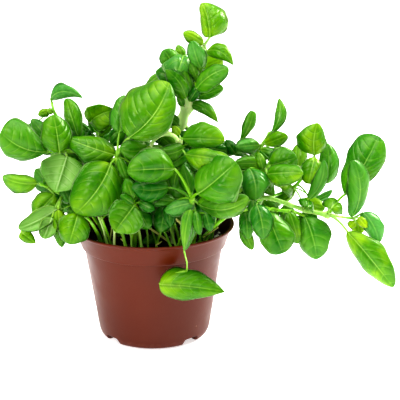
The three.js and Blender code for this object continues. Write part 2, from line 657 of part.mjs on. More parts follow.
// The pot: turned wall and floor, notches through the foot ring and drain holes.
function makePot() {
  const inner = RIM_RADIUS - LIP_WIDTH;
  const profile = [
    [0, 0], [PAD_RADIUS, 0], [PAD_RADIUS + 2.5, FLOOR_UNDERSIDE], [FOOT_INNER - 1.5, FLOOR_UNDERSIDE],
    [FOOT_INNER, 0], [FOOT_OUTER, 0], [FOOT_OUTER + 2.8, 1.3], [BODY_FOOT_RADIUS, 5],
    [BODY_TOP_RADIUS, COLLAR_FOOT - 0.5], [COLLAR_RADIUS, COLLAR_FOOT],
    [62.6, POT_HEIGHT - 2.6], [RIM_RADIUS, POT_HEIGHT - 1.6], [RIM_RADIUS, POT_HEIGHT], [inner, POT_HEIGHT],
    [inner - 1.2, POT_HEIGHT - 1.8], [COLLAR_RADIUS - WALL, COLLAR_FOOT + 1.6],
    [BODY_TOP_RADIUS - WALL, COLLAR_FOOT - 0.2],
    [BODY_FOOT_RADIUS - WALL, FLOOR_UNDERSIDE + WALL], [PAD_RADIUS + 1.5, FLOOR_UNDERSIDE + WALL],
    [PAD_RADIUS - 1.2, WALL], [0, WALL],
  ].map(([r, z]) => new THREE.Vector2(r, z));
  let pot = solidFrom(upright(new THREE.LatheGeometry(profile, POT_SIDES)));
  const arch = new THREE.Shape();
  const half = NOTCH_WIDTH / 2;
  arch.moveTo(-half - 0.6, -1);
  arch.lineTo(half + 0.6, -1);
  arch.lineTo(half, NOTCH_HEIGHT * 0.7);
  arch.lineTo(half - 1.6, NOTCH_HEIGHT);
  arch.lineTo(-half + 1.6, NOTCH_HEIGHT);
  arch.lineTo(-half, NOTCH_HEIGHT * 0.7);
  for (const turn of NOTCH_TURNS) {
    const cut = new THREE.ExtrudeGeometry(arch, { depth: 20, bevelEnabled: false });
    cut.rotateX(Math.PI / 2);
    cut.translate(0, -30, 0);
    cut.rotateZ(THREE.MathUtils.degToRad(turn));
    pot = pot.subtract(solidFrom(cut));
  }
  for (let i = 0; i < DRAIN_HOLES; i++) {
    const hole = new THREE.CylinderGeometry(DRAIN_RADIUS, DRAIN_RADIUS, 6, 8);
    hole.rotateX(Math.PI / 2);
    hole.translate(DRAIN_RING, 0, FLOOR_UNDERSIDE + 0.6);
    hole.rotateZ(2 * Math.PI * (i + 0.5) / DRAIN_HOLES);
    pot = pot.subtract(solidFrom(hole));
  }
  return pot;
}

// The potting mix: a plug that stands off the wall, its top lightly heaped and lumpy.
function makeSoil(holes) {
  const gap = WALL + SOIL_GAP + FACET_ALLOWANCE;
  const low = FLOOR_UNDERSIDE + WALL + SOIL_GAP;
  const flare = (BODY_TOP_RADIUS - BODY_FOOT_RADIUS) / (COLLAR_FOOT - 6.5);
  const side = (z) => BODY_FOOT_RADIUS + flare * (z - 6) - gap - 0.5;
  const profile = [
    [0, low], [side(low) - 1.2, low], [side(COLLAR_FOOT - 2), COLLAR_FOOT - 2],
    [COLLAR_RADIUS + 0.3 - gap, SOIL_TOP - 2], [45, SOIL_TOP - 0.2], [25, SOIL_TOP + 0.4],
    [0, SOIL_TOP + 0.2],
  ].map(([r, z]) => new THREE.Vector2(r, z));
  const plug = new THREE.LatheGeometry(profile, SOIL_SIDES);
  const place = plug.attributes.position;
  for (let i = 0; i < place.count; i++) {
    const p = new THREE.Vector3().fromBufferAttribute(place, i);
    if (p.y > SOIL_TOP - 1) {
      const lump = LUMP_HEIGHT * Math.sin(p.x * 0.31 + 1) * Math.cos(p.z * 0.27 + 2);
      place.setY(i, p.y + lump);
    }
  }
  let soil = solidFrom(upright(plug));
  for (const hole of holes) soil = soil.subtract(hole);
  return soil;
}

// Stems first: each with its root in a hole in the mix, then every leaf at the nearest free depth.
const names = Object.keys(STEMS);
const solids = {};
const limbsOf = {};
const owners = {};
const holes = [];

names.forEach((name, n) => {
  const stem = STEMS[name];
  const thickness = stem.path[0][3];
  const [x, y] = stem.root;
  const root = [new THREE.Vector3(x, y, SOIL_TOP - ROOT_DEPTH), new THREE.Vector3(x, y, SOIL_TOP + 3)];
  const limbs = [stem.path, stem.fork].filter(Boolean).map((path) => path.map(([a, b, c]) => seen(a, b, c)));
  limbsOf[name] = limbs;
  owners[name] = n + 1;
  solids[name] = limbs.map((limb, i) => {
    const radii = (i === 0 ? stem.path : stem.fork).map((p) => p[3]);
    const body = i === 0
      ? tube([...root, ...limb], [thickness, thickness, ...radii], STEM_SIDES)
      : tube(limb, radii, STEM_SIDES);
    mark(spread(body.points, body.triangles), owners[name]);
    return solidOf(body.points, body.triangles);
  });
  const radius = (thickness + SOIL_GAP + 0.05) / Math.cos(Math.PI / STEM_SIDES);
  const depth = ROOT_DEPTH + HOLE_OVER;
  const hole = upright(new THREE.CylinderGeometry(radius, radius, depth, STEM_SIDES));
  hole.translate(x, y, SOIL_TOP - ROOT_DEPTH - SOIL_GAP + depth / 2);
  holes.push(solidFrom(hole));
});

// The pot's wall, its rim and the top of the mix keep their room too.
const guard = upright(new THREE.LatheGeometry(
  [[46, 4], [57, 75], [64, 90], [65, 92], [62, 92], [58, 83], [0, 83]].map((p) => new THREE.Vector2(...p)),
  POT_SIDES,
));
const guardPoints = [];
for (let i = 0; i < guard.attributes.position.count; i++) {
  guardPoints.push(new THREE.Vector3().fromBufferAttribute(guard.attributes.position, i));
}
const guardFaces = [];
for (let i = 0; i < guard.index.count; i += 3) {
  guardFaces.push([guard.index.getX(i), guard.index.getX(i + 1), guard.index.getX(i + 2)]);
}
mark(spread(guardPoints, guardFaces), POT_OWNER);

// A leaf and its petiole, the whole of it moved by shift along the line of sight.
// A place from 10 up lies on the stem's fork.
function leafAt(name, row, sky, shift) {
  const [place, bx, bup, by, tx, tup, ty, wide, turn, arch, cup, sway, lean = 0] = row;
  const base = seen(bx, bup, by + shift);
  const tip = seen(tx, tup, ty + shift);
  const leaf = { base, wide, arch, cup, sway, lean, ...bladeFrame(base, tip, turn, sky) };
  const start = along(limbsOf[name][place >= 10 ? 1 : 0], place % 10);
  const reach = start.distanceTo(base);
  if (reach < SHORT_PETIOLE) return { leaf, line: [start, base], radii: [PETIOLE_START, PETIOLE_END] };
  const knee = start.clone().lerp(base, 0.5);
  knee.z += PETIOLE_RISE * reach;
  return { leaf, line: [start, knee, base], radii: [PETIOLE_START, PETIOLE_MIDDLE, PETIOLE_END] };
}

function clashes(samples, stemOwner) {
  return samples.filter((p) => {
    const there = room[cellOf(p, 0, 0, 0)];
    return there !== 0 && there !== stemOwner;
  }).length;
}

const rows = [];
names.forEach((name) => STEMS[name].leaves.forEach((row) => rows.push([name, row, false])));
names.forEach((name) => STEMS[name].hidden.forEach((row) => rows.push([name, row, true])));
rows.forEach(([name, row, sky], n) => {
  let best = null;
  for (const shift of SHIFTS) {
    const made = leafAt(name, row, sky, shift);
    const sheet = bladeSheet(made.leaf);
    const clear = BASE_CLEAR * made.leaf.run.length();
    const blade = spread(sheet.points, sheet.triangles).filter((p) => p.distanceTo(made.leaf.base) > clear);
    const stalk = tube(made.line, made.radii, 4);
    const petiole = spread(stalk.points, stalk.triangles).filter((p) => p.distanceTo(made.line[0]) > 5);
    const samples = [...blade, ...petiole];
    const hits = clashes(samples, owners[name]);
    if (best === null || hits < best.hits) best = { hits, made, samples };
    if (hits === 0) break;
  }
  mark(best.samples, names.length + 1 + n);
  solids[name].push(leafSolid(best.made.leaf, best.made.line, best.made.radii));
});

const POT_SKIN = new THREE.MeshStandardMaterial({ color: 0x8a4a38, roughness: 0.45, metalness: 0 });
const SOIL_SKIN = new THREE.MeshStandardMaterial({ color: 0x1c1410, roughness: 1, metalness: 0 });
const LEAF_SKIN = new THREE.MeshStandardMaterial({ color: 0x5f9a1c, roughness: 0.5, metalness: 0 });

function meshOf(solid, name, material) {
  const raw = solid.getMesh();
  const geometry = new THREE.BufferGeometry();
  geometry.setAttribute('position', new THREE.BufferAttribute(new Float32Array(raw.vertProperties), 3));
  geometry.setIndex(new THREE.BufferAttribute(new Uint32Array(raw.triVerts), 1));
  geometry.computeVertexNormals();
  const mesh = new THREE.Mesh(geometry, material);
  mesh.name = name;
  return mesh;
}

const group = new THREE.Group();
group.name = 'potted_basil';
group.add(meshOf(makePot(), 'pot', POT_SKIN));
group.add(meshOf(makeSoil(holes), 'soil', SOIL_SKIN));
for (const name of names) {
  const whole = solids[name].reduce((sum, piece) => sum.add(piece));
  group.add(meshOf(whole, name, LEAF_SKIN));
}
export default group;
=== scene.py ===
"""Kitchen basil in a moulded nursery pot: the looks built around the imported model.

Laid out as a Blender add-on and run as a script. Lengths in the tables are millimetres in the model's frame.
"""

import math

import bpy
import numpy as np
from mathutils.bvhtree import BVHTree
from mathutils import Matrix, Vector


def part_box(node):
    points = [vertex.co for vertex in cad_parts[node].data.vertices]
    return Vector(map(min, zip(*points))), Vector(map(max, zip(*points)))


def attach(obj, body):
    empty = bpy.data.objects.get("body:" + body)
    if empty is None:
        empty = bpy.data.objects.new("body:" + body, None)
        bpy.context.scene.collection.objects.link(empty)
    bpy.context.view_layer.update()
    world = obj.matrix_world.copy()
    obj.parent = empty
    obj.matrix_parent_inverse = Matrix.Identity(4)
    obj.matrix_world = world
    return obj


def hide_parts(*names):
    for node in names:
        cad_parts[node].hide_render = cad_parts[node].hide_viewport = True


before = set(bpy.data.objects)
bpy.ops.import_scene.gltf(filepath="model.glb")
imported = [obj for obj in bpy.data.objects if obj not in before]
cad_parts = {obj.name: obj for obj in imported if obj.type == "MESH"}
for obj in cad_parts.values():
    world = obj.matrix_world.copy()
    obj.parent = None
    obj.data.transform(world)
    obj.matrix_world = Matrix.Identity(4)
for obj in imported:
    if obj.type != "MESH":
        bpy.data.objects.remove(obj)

bl_info = {
    "name": "Potted basil",
    "version": (1, 0, 0),
    "blender": (4, 5, 0),
    "location": "3D View > Sidebar > Basil",
    "description": "Leafy basil stems in a moulded pot of potting mix",
    "category": "Add Mesh",
}

MM = 0.001
SEED = 7
UPWARD = np.array([0, 0, 1.0])

# The viewer's eye, the point looked at and the downward tilt of the view, as in the model's source.
EYE = np.array([37.5, -769.0, 331.0])
AIM = np.array([37.5, 0.0, 110.5])
AIM_UP = 106.0
TILT = math.radians(16)

# The pot: its wall, how much narrower its mouth is than its rim, its roundness, and the notches in its foot ring
# and the holes in its floor, with the headings that they stand at.
POT_WALL, LIP_WIDTH, POT_SIDES = 1.3, 2.1, 144
NOTCH_HALF, NOTCH_RISE, NOTCH_TURNS = 8.2, 6.6, (43, 133, 223, 313)
HOLE_REACH, HOLE_RADIUS, HOLE_TURNS = 26, 3.2, range(30, 390, 60)

# The mix: how high it stands, and the mark by which its material tells each kind of grain.
MIX_TOP = 82.0
CRUMB, BARK, STRAW, PERLITE = 0.0, 0.6, 0.8, 1.0

# Stems: how deep they are sunk in the mix, how much slimmer they are than in the model, which rounds them off with
# a few flat sides, how many sides they have here, and how high the foot of a thin stalk is.
STEM_SUNK, SLENDER, STEM_SIDES, STALK_FOOT = 14, 0.66, 12, 70

# Leaves: rings of a petiole, half of a blade's thickness, how far its midrib stands out below, and the form of a plain
# leaf, which is its tone, turn, cup, sway, greyish green sheen, lean, point and neck.
PETIOLE_RINGS, BLADE_HALF_THICK, RIB_DEPTH = 9, 0.16, 0.5
PLAIN_FORM = (0, 0, 0.3, 0, 0, 0, 0.6, 0.45)

# Inner leaves: tries for each, how far off a stem may hold one, the place that they grow away from, and the ranges that
# their width in lengths, turn, arch, cup, sway, change of tone, greyish green sheen and point are drawn from.
TRIES, FARTHEST_HOLD, PLANT_HEART = 14, 24, np.array([5, 0, 95])
INNER_FORM = ((0.55, 0.75), (-30, 30), (-1, 4), (-0.2, 0.8), (-3, 3), (-0.3, 0.3), (-0.3, 0.3), (0.6, 0.95))

# Depths that a leaf of the model may have been moved by along the line of sight, the smaller first.
SHIFTS = [0, *(side * step for step in (2, 4, 6, 8, 10, 13, 16, 20, 24, 28, 34, 40) for side in (-1, 1))]

# Each stem: how pale it is, where it is paler or duller than most, root x and y in the mix, its path and its fork, then
# its leaves. The leaves and the hidden ones stand for the model's, and the hidden ones face the sky. The filling,
# mostly leaves between and behind them whose dark tones are painted shade, is left to this scene by the model. A path
# point is x, height and depth as seen, then the stem's radius there. A leaf is its place on the path, or 10 more on the
# fork, base x height depth, tip x height depth, width and arch. Where they are needed, then come its tone from dark
# (-1) to bright (1), its turn about the midrib in degrees, its cup, its sideways bow, how greyish green it is, the
# share by which its left half is wider than its right, how pointed it is (0.6 is blunt) and how narrow at its base
# (0.45 is round), and last the place where a leaf that hangs on another is held. The tone is partly the leaf's own
# colour, and its dark values, given to leaves deep in the plant, are painted shade. The greyish green partly paints the
# pale sheen of leaves that catch the light at a glancing angle.
STEMS = {
    "stem_tall": {
        "pale": 1.0, "root": [10, 2],
        "path": [
            [12, 100, 4, 2.6], [17, 130, 0, 2.5], [21, 162, -6, 3.5], [27.5, 181, -8, 5.0], [31.5, 196, -8, 1.9],
            [36, 212, -8, 1.7], [41, 230, -8, 1.4],
        ],
        "leaves": [
            [6, 45.5, 236.5, -9, 39, 263.8, -4, 21, 1, 0.4, -4, 0.1, 1.5, 0, -0.42, 0.5, 0.25],
            [6, 40, 231, -10, 24.5, 240, -16, 11, 2, 0.4, 20, 0.3, 0, 0.05],
            [5, 38, 212, -12, 31, 232, -22, 14, 2, 0, -15, 0.3, 0, 0.6],
            [6, 43, 225, -10, 63.5, 214, -20, 12.5, 3, 0.5, 10, 0.3, -5, 0, 0, 0.85],
            [5.3, 40, 212, -16, 55, 218.5, -24, 14, 1, 0.8, 0, 0.2],
            [4.2, 35, 195, -10, 60, 211.5, -18, 17, 2, -0.25, -20, 0.3, -2, 0.1],
            [3.8, 31, 188.5, -12, 56, 196, -26, 15, 2, 0, 25, 0.35, 0, 0.1],
            [3.2, 30, 183, -12, 51.5, 168, -22, 10, 3, 0.2, 10, 0.4, -3.5, 0.1, 0, 0.85],
            [5, 24, 221, -8, 20, 208.5, -26, 28, 3, -0.2, 0, 0.7, 0, 0.6],
            [4.7, 17, 213, -14, 9, 226, -18, 16, 1, 0.1, 0, 0.3, 0, 0.3],
            [5.2, 24, 220, 6, 19.5, 230, 9, 8, 1, 0.1, 0, 0.2], [4.6, 18, 204, 0, 2, 209, 4, 15, 1, -0.8],
            [4.4, 9, 208, 12, -8, 196, 19, 9, 1, 0, 20, 0.2, 0, 0.3, 0, 0.9],
            [3.6, 26, 187.5, -12, 11, 210, -18, 14, 2, -0.35, 15, 0.3, 2],
            [4, 31, 194, -12, 38, 212, -16, 8, 1, 0.2, -10], [3.6, 23, 188, 0, 16, 202, 4, 9, 1, -0.8, 0, 0.2],
        ],
        "hidden": [
            [5, 34, 208, 2, 46, 202, 22, 15, 3], [4.2, 28, 196, 0, 14, 192, 24, 16, 3],
            [3, 29, 184, 0, 30, 181, 24, 12, 3], [2.4, 22, 170, 2, 6, 166, 24, 19, 3],
        ],
        "filling": [
            [3.6, 28, 188, -16, 25, 209, -20, 11, 1, -0.2], [3.4, 29, 185, -18, 38, 199, -20, 9, 1, -0.5],
            [4.6, 35, 204, -14, 30, 216, -18, 8, 1, -0.1, 0, 0.3, 0, 0.1],
            [5, 36, 209, -14, 42, 221, -18, 7, 1, 0.2, 0, 0.3, 0, 0.2],
            [3, 24, 181, -16, 20, 190, -18, 6, 1, 0.3, 0, 0.3, 0, 0.3], [2.2, 20, 166, -14, 12, 174, -16, 9, 1, -0.3],
            [1.4, 19, 144, -10, 30, 138, -14, 13, 1, -0.8], [1.6, 19, 152, -12, 29, 160, -14, 10, 1, -0.6],
        ],
    },
    "stem_left_mid": {
        "root": [-9, -34],
        "path": [[-14, 86, -40, 1.8], [-22, 108, -38, 1.9], [-27, 128, -38, 1.9], [-29, 140, -38, 2.6]],
        "leaves": [
            [3, -19, 156, -38, 12, 200.5, -30, 42, 3, 0.15, -15, 0.25, 6, 0, 0.33],
            [3, -34, 135, -42, -62, 96, -62, 42, 4, 0, 10, 0.25, -4],
            [3, -31, 142, -38, -69, 156, -34, 25, 3, 0, 20, 0.3, -2, 0, 0, 0.75],
            [3, -34, 138, -28, -65, 138, -6, 16, 2, 0, -20], [3, -13, 131, -58, 9, 147, -59, 18, 2, 0, 10],
            [3, -27, 160, -16, -23, 190, -6, 18, 2, 0.1, 0, 0.3, 0, 0.3], [2.8, -27, 136, -44, -22, 120, -50, 8, 1],
        ],
        "hidden": [[2, -26, 126, -30, -40, 116, -12, 18, 2, -0.2], [1, -20, 106, -32, -6, 104, -14, 18, 2, -0.2]],
        "filling": [
            [3, -27, 139, -46, -20.5, 121, -50, 9, 1, -0.1], [2, -26, 128, -30, -10, 122, -32, 16, 1, -0.8],
            [1, -22, 112, -34, -30, 100, -38, 14, 1, -0.7], [2.8, -24, 150, -20, -10, 152, -22, 12, 1, -0.2],
            [2.6, -26, 134, -30, -16, 150, -26, 14, 1, -0.4], [2.8, -33, 150, -8, -22, 163, -4, 11, 1, -0.7],
        ],
    },
    "stem_left_back": {
        "root": [-22, 12],
        "path": [[-28, 110, 14, 1.5], [-36, 140, 12, 1.4], [-44, 158, 10, 1.4]],
        "leaves": [
            [2, -51, 168, 4, -31, 178, -2, 24, 3, 0.3, 20, -0.6, -3],
            [2, -47, 160, 6, -51, 170, 2, 6, 1, -0.3, 30, 0.2], [2, -43, 157, 4, -30, 169, -2, 7, 1, 0.8, 30, 0.2],
            [1.6, -41, 151, 14, -38, 163, 20, 11, 1, -0.5, 0, 0.2],
            [1.6, -35, 154, 16, -20, 166, 18, 11, 1, -0.6, 0, 0.2],
            [2, -50, 158, 12, -59, 168, 14, 7, 1, -0.3, 0, 0.2], [1.8, -47, 154, 12, -54, 162, 10, 6, 1, -0.2, 0, 0.2],
        ],
        "hidden": [[1, -38, 140, 16, -50, 136, 36, 18, 3], [0.6, -30, 130, 14, -22, 122, 34, 18, 3]],
    },
    "stem_hook": {
        "pale": 0.6, "root": [16, -24],
        "path": [[15, 95, -32, 2.0], [19, 125, -36, 2.0], [21, 147, -40, 2.4], [22, 155, -40, 1.6]],
        "fork": [
            [21, 147, -40, 1.6], [18, 156, -42, 1.7], [10, 159, -43, 1.7], [2, 155, -44, 1.6], [-2, 149, -45, 1.3],
        ],
        "leaves": [
            [14, -5, 148, -50, -26, 147, -58, 18, 2, 0, -10, 0.3, -2],
            [3, 24, 155, -42, 56.5, 153.5, -54, 20, 2, 0.05, 15, 0.3, -1, 0, 0.15],
            [2, 26, 142.5, -44, 62, 137.5, -60, 18, 2, 0.2, 0, 0.4, 0, 0, -0.25],
            [2, 18, 143, -34, 5, 147, -30, 9, 1, -0.2], [3, 21, 158, -44, 16, 165, -46, 7, 1, 0.9],
            [3, 36, 150, -26, 67, 143, -14, 12, 2, -0.7],
        ],
        "filling": [
            [1, 20, 130, -34, 4, 136, -32, 15, 1, -0.6], [1, 22, 128, -36, 12, 116, -38, 14, 1, -0.7],
            [0.4, 17, 108, -32, 2, 104, -30, 15, 1, -0.9], [2, 24, 140, -36, 36, 130, -38, 15, 1, -0.7],
            [12, 4, 150, -30, 10, 141, -26, 9, 1, -0.8], [2, 20, 145, -32, 4, 159, -28, 15, 1, -0.5],
            [1.8, 27, 143, -42, 13, 133.5, -50, 12, 1, -0.45], [2, 25, 148, -46, 4, 143, -52, 13, 1, 0, -10, 0.4, -2],
            [1.6, 24, 137, -44, 17, 112, -50, 16, 2, -0.6, 10, 0.4, 2, 0, 0, 0.8],
        ],
    },
    "stem_front": {
        "root": [32, -38],
        "path": [[33, 86, -48, 1.9], [32, 98, -56, 2.0], [31, 107, -60, 2.6]],
        "leaves": [
            [2, 17, 131, -64, -20, 129, -76, 26, 3, -0.2, -8, 0.4, 1, 0, -0.12],
            [2, 36, 111, -62, 65, 136, -74, 36, 4, -0.25, -14, 0.4, 2, 0.05],
            [2, 33, 104, -64, 9, 98, -66, 13.5, 1, 0, 20, 0.3, 0, 0.8, 0, 0.5],
            [2, 36, 103, -62, 76, 106, -80, 20, 3, 0.1, 20, 0.4, 5, 0.1], [2, 26, 109, -50, 9, 121, -42, 20, 2, -0.45],
            [2, 30, 112, -50, 24, 134, -46, 12, 1, -0.6],
        ],
        "filling": [
            [2, 12, 116, -60, -17, 116, -64, 19, 2, -0.9, 0, 0.5, -2], [2, 18, 105, -54, -10, 108, -60, 11, 1, -0.35],
            [2, 32, 116, -46, 17, 140, -38, 13, 1, -0.8], [2, 36, 104, -50, 50, 88, -40, 15, 1, -0.8],
            [2, 29, 102, -44, 47, 116, -38, 17, 1, -0.8], [1, 34, 100, -52, 24, 90, -54, 9, 1, -0.4],
        ],
    },
    "stem_drop": {
        "pale": -0.35, "root": [20, -45],
        "path": [
            [27, 86, -54, 1.4], [31, 93, -61, 1.4], [30, 96, -66, 1.4], [27, 89, -71, 1.4], [24, 76, -72, 1.3],
            [25, 65, -70, 1.2], [27, 56, -66, 1.1], [27, 49, -63, 0.9],
        ],
        "leaves": [
            [7, 5, 38.5, -66, 57.5, 32.5, -68, 25, 3, -0.05, 0, 0.25, -1, 0, 0.15, 0.95],
            [2, 32, 92, -70, 26, 66, -74, 8, 1, 0.1, 30, 0.5, 0, 0.4, 0, 0.85],
            [1, 34, 97, -64, 37, 78, -70, 8, 2, -0.3, 0, 0.3, 0, 0.1],
            [1, 42, 95, -66, 46, 81, -70, 9, 1, -0.3, 0, 0.3, 0, 0.1],
        ],
        "filling": [
            [1, 29.5, 98, -75, 25, 65, -80, 10, 2, 0.1, 5, 0.5, 1, 0.3, 0, 0.85, 0.35],
            [1, 33, 96, -62, 42, 84, -60, 9, 1, -0.4],
        ],
    },
    "stem_right_upper": {
        "root": [34, 8],
        "path": [[48, 108, 0, 1.7], [66, 126, -6, 1.7], [80, 139, -10, 1.6], [88, 151, -10, 1.9], [93, 160, -10, 1.2]],
        "leaves": [
            [2, 69, 152, -10, 80.5, 177, -6, 10, 2, 0.25, 20, 0.3, 1, 0.2, 0, 0.38, 0.9],
            [3, 85, 150, -14, 67, 148.5, -26, 13, 2, 0.2, 0, 0.3, 0, 0.6],
            [4, 94, 158, -9, 100.5, 187.5, -4, 9.5, 2, 0.3, -20, 0.4, 4.5, 0.2, 0, 0.7, 0.9],
            [3, 90, 151, -12, 107, 157.5, -20, 13, 1, 0.5, 10],
            [3, 95, 145, -6, 112, 144, 0, 9, 1, 0.6, 0, 0.3, 0, 0.4],
        ],
        "hidden": [
            [2, 76, 138, 2, 70, 128, 24, 18, 3], [3, 86, 147, 4, 80, 143, 28, 17, 3],
            [1, 62, 124, 4, 54, 130, 30, 20, 3], [4, 94, 158, -2, 102, 158, 16, 12, 2],
        ],
        "filling": [
            [2, 66, 143, -20, 58, 154, -16, 9, 1, -0.8], [3, 86, 146, -16, 98, 143, -24, 8, 1, 0.1, 0, 0.3, 0, 0.3],
        ],
    },
    "stem_right_mid": {
        "root": [42, -20],
        "path": [[54, 98, -28, 1.8], [70, 114, -34, 1.8], [83, 126, -38, 1.7], [90, 131, -40, 1.9]],
        "leaves": [
            [3, 94, 134, -42, 115, 140, -48, 20, 1, 0.1, 10], [3, 91, 126.5, -44, 120, 127.5, -56, 17.5, 2, 0.35, -15],
            [2.4, 77, 131, -44, 82, 106.5, -60, 22, 3, -0.3, 0, 0.3, -2, 0.3],
            [3, 87, 135.5, -40, 65, 135, -44, 12, 1, 0.2],
        ],
        "hidden": [[1, 70, 116, -26, 64, 118, -8, 18, 2], [2, 86, 123, -28, 96, 121, -8, 16, 2]],
        "filling": [
            [3, 88, 131, -44, 84, 144, -40, 8, 1, 0.3, 0, 0.3, 0, 0.1],
            [2.4, 86, 121, -40, 97, 110, -42, 9, 1, 0, 0, 0.3, 0, 0.1], [1.6, 68, 116, -30, 76, 128, -24, 12, 1, -0.7],
            [0.8, 64, 108, -34, 76, 118, -30, 12, 1, -0.5],
        ],
    },
    "stem_far_right": {
        "root": [48, 4],
        "path": [
            [66, 100, -2, 1.8], [92, 108, -6, 1.7], [112, 116, -10, 1.6], [122, 128, -12, 1.6], [129, 140, -14, 1.8],
        ],
        "leaves": [
            [3, 116, 132, -6, 117, 151, -2, 14, 1, 1.3, 0, 0.3, 0, 0.4],
            [4, 129, 142, -15, 131.5, 167.5, -14, 24, 2, 0.25, 10, 0.3, -2, 0, 0.1, 0.7],
            [3.2, 138, 119, -8, 139, 151.5, -2, 17, 2, 0.2, 0, 0.3, 2, 0.3],
            [4, 129, 140, -20, 124, 119, -34, 17, 2, 0.35],
            [2.2, 125, 107, -22, 137, 137.5, -26, 11.5, 2, 0, 20, 0.3, 3, 0.6],
            [2, 128, 106, -8, 143.5, 114, -6, 6, 1, -0.2, 0, 0.3, 1.5, 0.5],
            [2, 119, 105, -16, 137, 99, -26, 12, 1, 0.6], [2, 114, 116, -20, 92, 106, -34, 8, 2, 0.1, 0, 0.3, -4],
            [2, 104, 105, -22, 88, 102, -36, 7, 1, 0.1],
        ],
        "hidden": [
            [1, 88, 106, 4, 82, 96, 28, 20, 3], [3, 121, 128, -2, 124, 122, 16, 16, 3],
            [1.6, 102, 116, 4, 108, 118, 26, 18, 3],
        ],
        "filling": [
            [3, 114, 134, -10, 109, 146, -8, 8, 1, 0.8, 0, 0.3, 0, 0.4], [2.6, 120, 122, -12, 128, 134, -10, 9, 1],
        ],
    },
    "stem_long_right": {
        "pale": 0.4, "root": [45, -11],
        "path": [
            [62, 97, -30, 2.2], [74, 105, -38, 2.2], [88, 108, -42, 2.1], [100, 105.5, -44, 2.1],
            [120, 98.5, -46, 2.0], [138, 94.3, -46, 2.6], [142, 94, -46, 1.8], [150, 92.5, -46, 1.3],
            [160, 91.3, -46, 1.2],
        ],
        "leaves": [
            [5.6, 153.5, 110.5, -42, 180, 157.5, -34, 29, 3, -0.15, -10, 0.3, 2, 0.1, 0.2, 0.42, 0.7],
            [8, 159, 92.5, -50, 161.5, 136, -60, 18.5, 4, -0.1, 20, 0.6, 4, 0.4, -0.15, 0.5, 0.5],
            [8, 168, 96, -48, 180.5, 71, -56, 15, 2, 0.3, 0, 0.3, -2.5, 1],
            [5.6, 155.5, 80.5, -50, 192, 35, -60, 23, 4, 0.3, 15, 0.3, -2, 0.05, 0, 0.6, 0.6],
            [8, 163, 90, -50, 165, 78.5, -56, 11, 1, 1.4], [8, 164, 92, -48, 171, 84, -52, 7.5, 0.5, 1.6],
        ],
        "hidden": [[4, 124, 100, -36, 120, 105, -14, 16, 3], [5.4, 142, 99, -34, 149, 104, -12, 17, 3]],
        "filling": [
            [3.4, 104, 101, -36, 112, 89, -38, 12, 1, -0.2], [4.2, 120, 97, -44, 131, 86, -48, 12, 1, -0.2],
            [2.4, 88, 104, -34, 100, 92, -40, 13, 1, -0.5], [8, 161.5, 89, -50, 157, 84, -54, 7, 0.5, 1.3],
        ],
    },
    "stem_low_right": {
        "root": [37, -29],
        "path": [
            [58, 92, -44, 1.8], [72, 98, -52, 1.8], [84, 100, -56, 1.7], [98, 98, -58, 1.6], [110, 97, -59, 1.5],
            [117, 95, -59, 1.3],
        ],
        "leaves": [
            [5, 121.5, 93, -60, 131, 58.5, -70, 26, 3, -0.15, 10, 0.3, -2, 0.2, 0, 0.6, 0.6],
            [4, 109, 96, -61, 116, 71, -64, 13, 2, 0.1, -20],
            [3, 91, 96, -62, 104, 63.5, -74, 25, 3, -0.15, 0, 0.3, 0, 0, 0, 0.45, 0.65],
            [2, 83, 102, -60, 88.5, 75, -68, 17, 3, -0.6, 0, 0.5, -1, 0.2],
            [2, 80, 106, -60, 81.5, 90, -66, 10, 1, -0.9, 0, 0.3, 0, 0.2],
            [1, 74, 97, -56, 76, 75, -62, 12.5, 2, -0.45, 0, 0.4, 0, 0.15],
            [1, 71, 85, -58, 79.5, 66, -62, 10, 1, -0.2],
        ],
        "filling": [
            [2.4, 92, 96, -50, 98, 80, -52, 13, 1, -0.3], [3.6, 104, 95, -54, 112, 78, -58, 13, 1],
            [1.4, 78, 98, -48, 74, 86, -46, 10, 1, -0.6], [4.4, 114, 93, -56, 122, 76, -60, 11, 1, 0.1],
        ],
    },
    "stem_centre_low": {
        "root": [-14, -40],
        "path": [[-16, 85, -50, 1.5], [-16, 96, -56, 1.5], [-15, 103, -58, 1.9]],
        "leaves": [
            [2, -15.5, 101, -62, -30.5, 81, -76, 28, -2, -0.05, 0, -0.6],
            [2, -16, 107, -58, -22, 123, -56, 12, 1, -0.2], [2, -10, 105, -60, 3, 109, -66, 9, 1, -0.3],
            [2, -12, 99, -62, -3, 83, -68, 13, 1, -0.3, 0, 0.4, 0, 0, 0, 0.6, 0.6],
            [2, -11, 109, -52, 8, 118, -48, 12, 1, -0.9],
        ],
        "filling": [
            [2, -16, 103, -62, -26, 110, -64, 9, 1, -0.2], [2, -11, 104, -60, 1, 98, -66, 9, 1, -0.5],
            [1, -14, 97, -50, -2, 88, -50, 12, 1, -0.7], [0.6, -18, 90, -44, -33, 88, -42, 13, 1, -0.8],
        ],
    },
    "stem_small": {
        "root": [4, -42],
        "path": [[8, 86, -50, 1.3], [10, 102, -50, 1.3]],
        "leaves": [[1, 10, 104, -53, 6, 80, -62, 15.5, 2, -0.4, 0, 0.4, 0, 0, 0, 0.55, 0.6]],
        "filling": [
            [0.4, 8, 96, -44, 20, 94, -40, 12, 1, -0.8], [0.8, 8, 103, -46, -4, 110, -44, 10, 1, -0.6],
            [1, 12, 103, -52, 14, 84, -58, 11, 1, -0.5, 0, 0.4, 0, 0, 0, 0.8],
            [0, 4, 77, -32, -8, 71.5, -40, 8, 1, -0.5],
        ],
    },
    "stem_left_a": {
        "root": [-28, -4],
        "path": [
            [-34, 98, -8, 1.9], [-44, 124, -12, 1.9], [-56, 143, -18, 1.8], [-71, 145, -24, 2.2],
            [-84, 144.5, -26, 1.2],
        ],
        "leaves": [
            [2.5, -60, 156, -18, -70.5, 187, -12, 14, 2, -0.1, -20, 0.3, 1, 0, 0, 0.5, 0.6],
            [3, -75, 144, -24, -79.5, 174, -22, 25, 2, -0.05, 10, 0.3, 0, 0, 0, 0.62, 0.5],
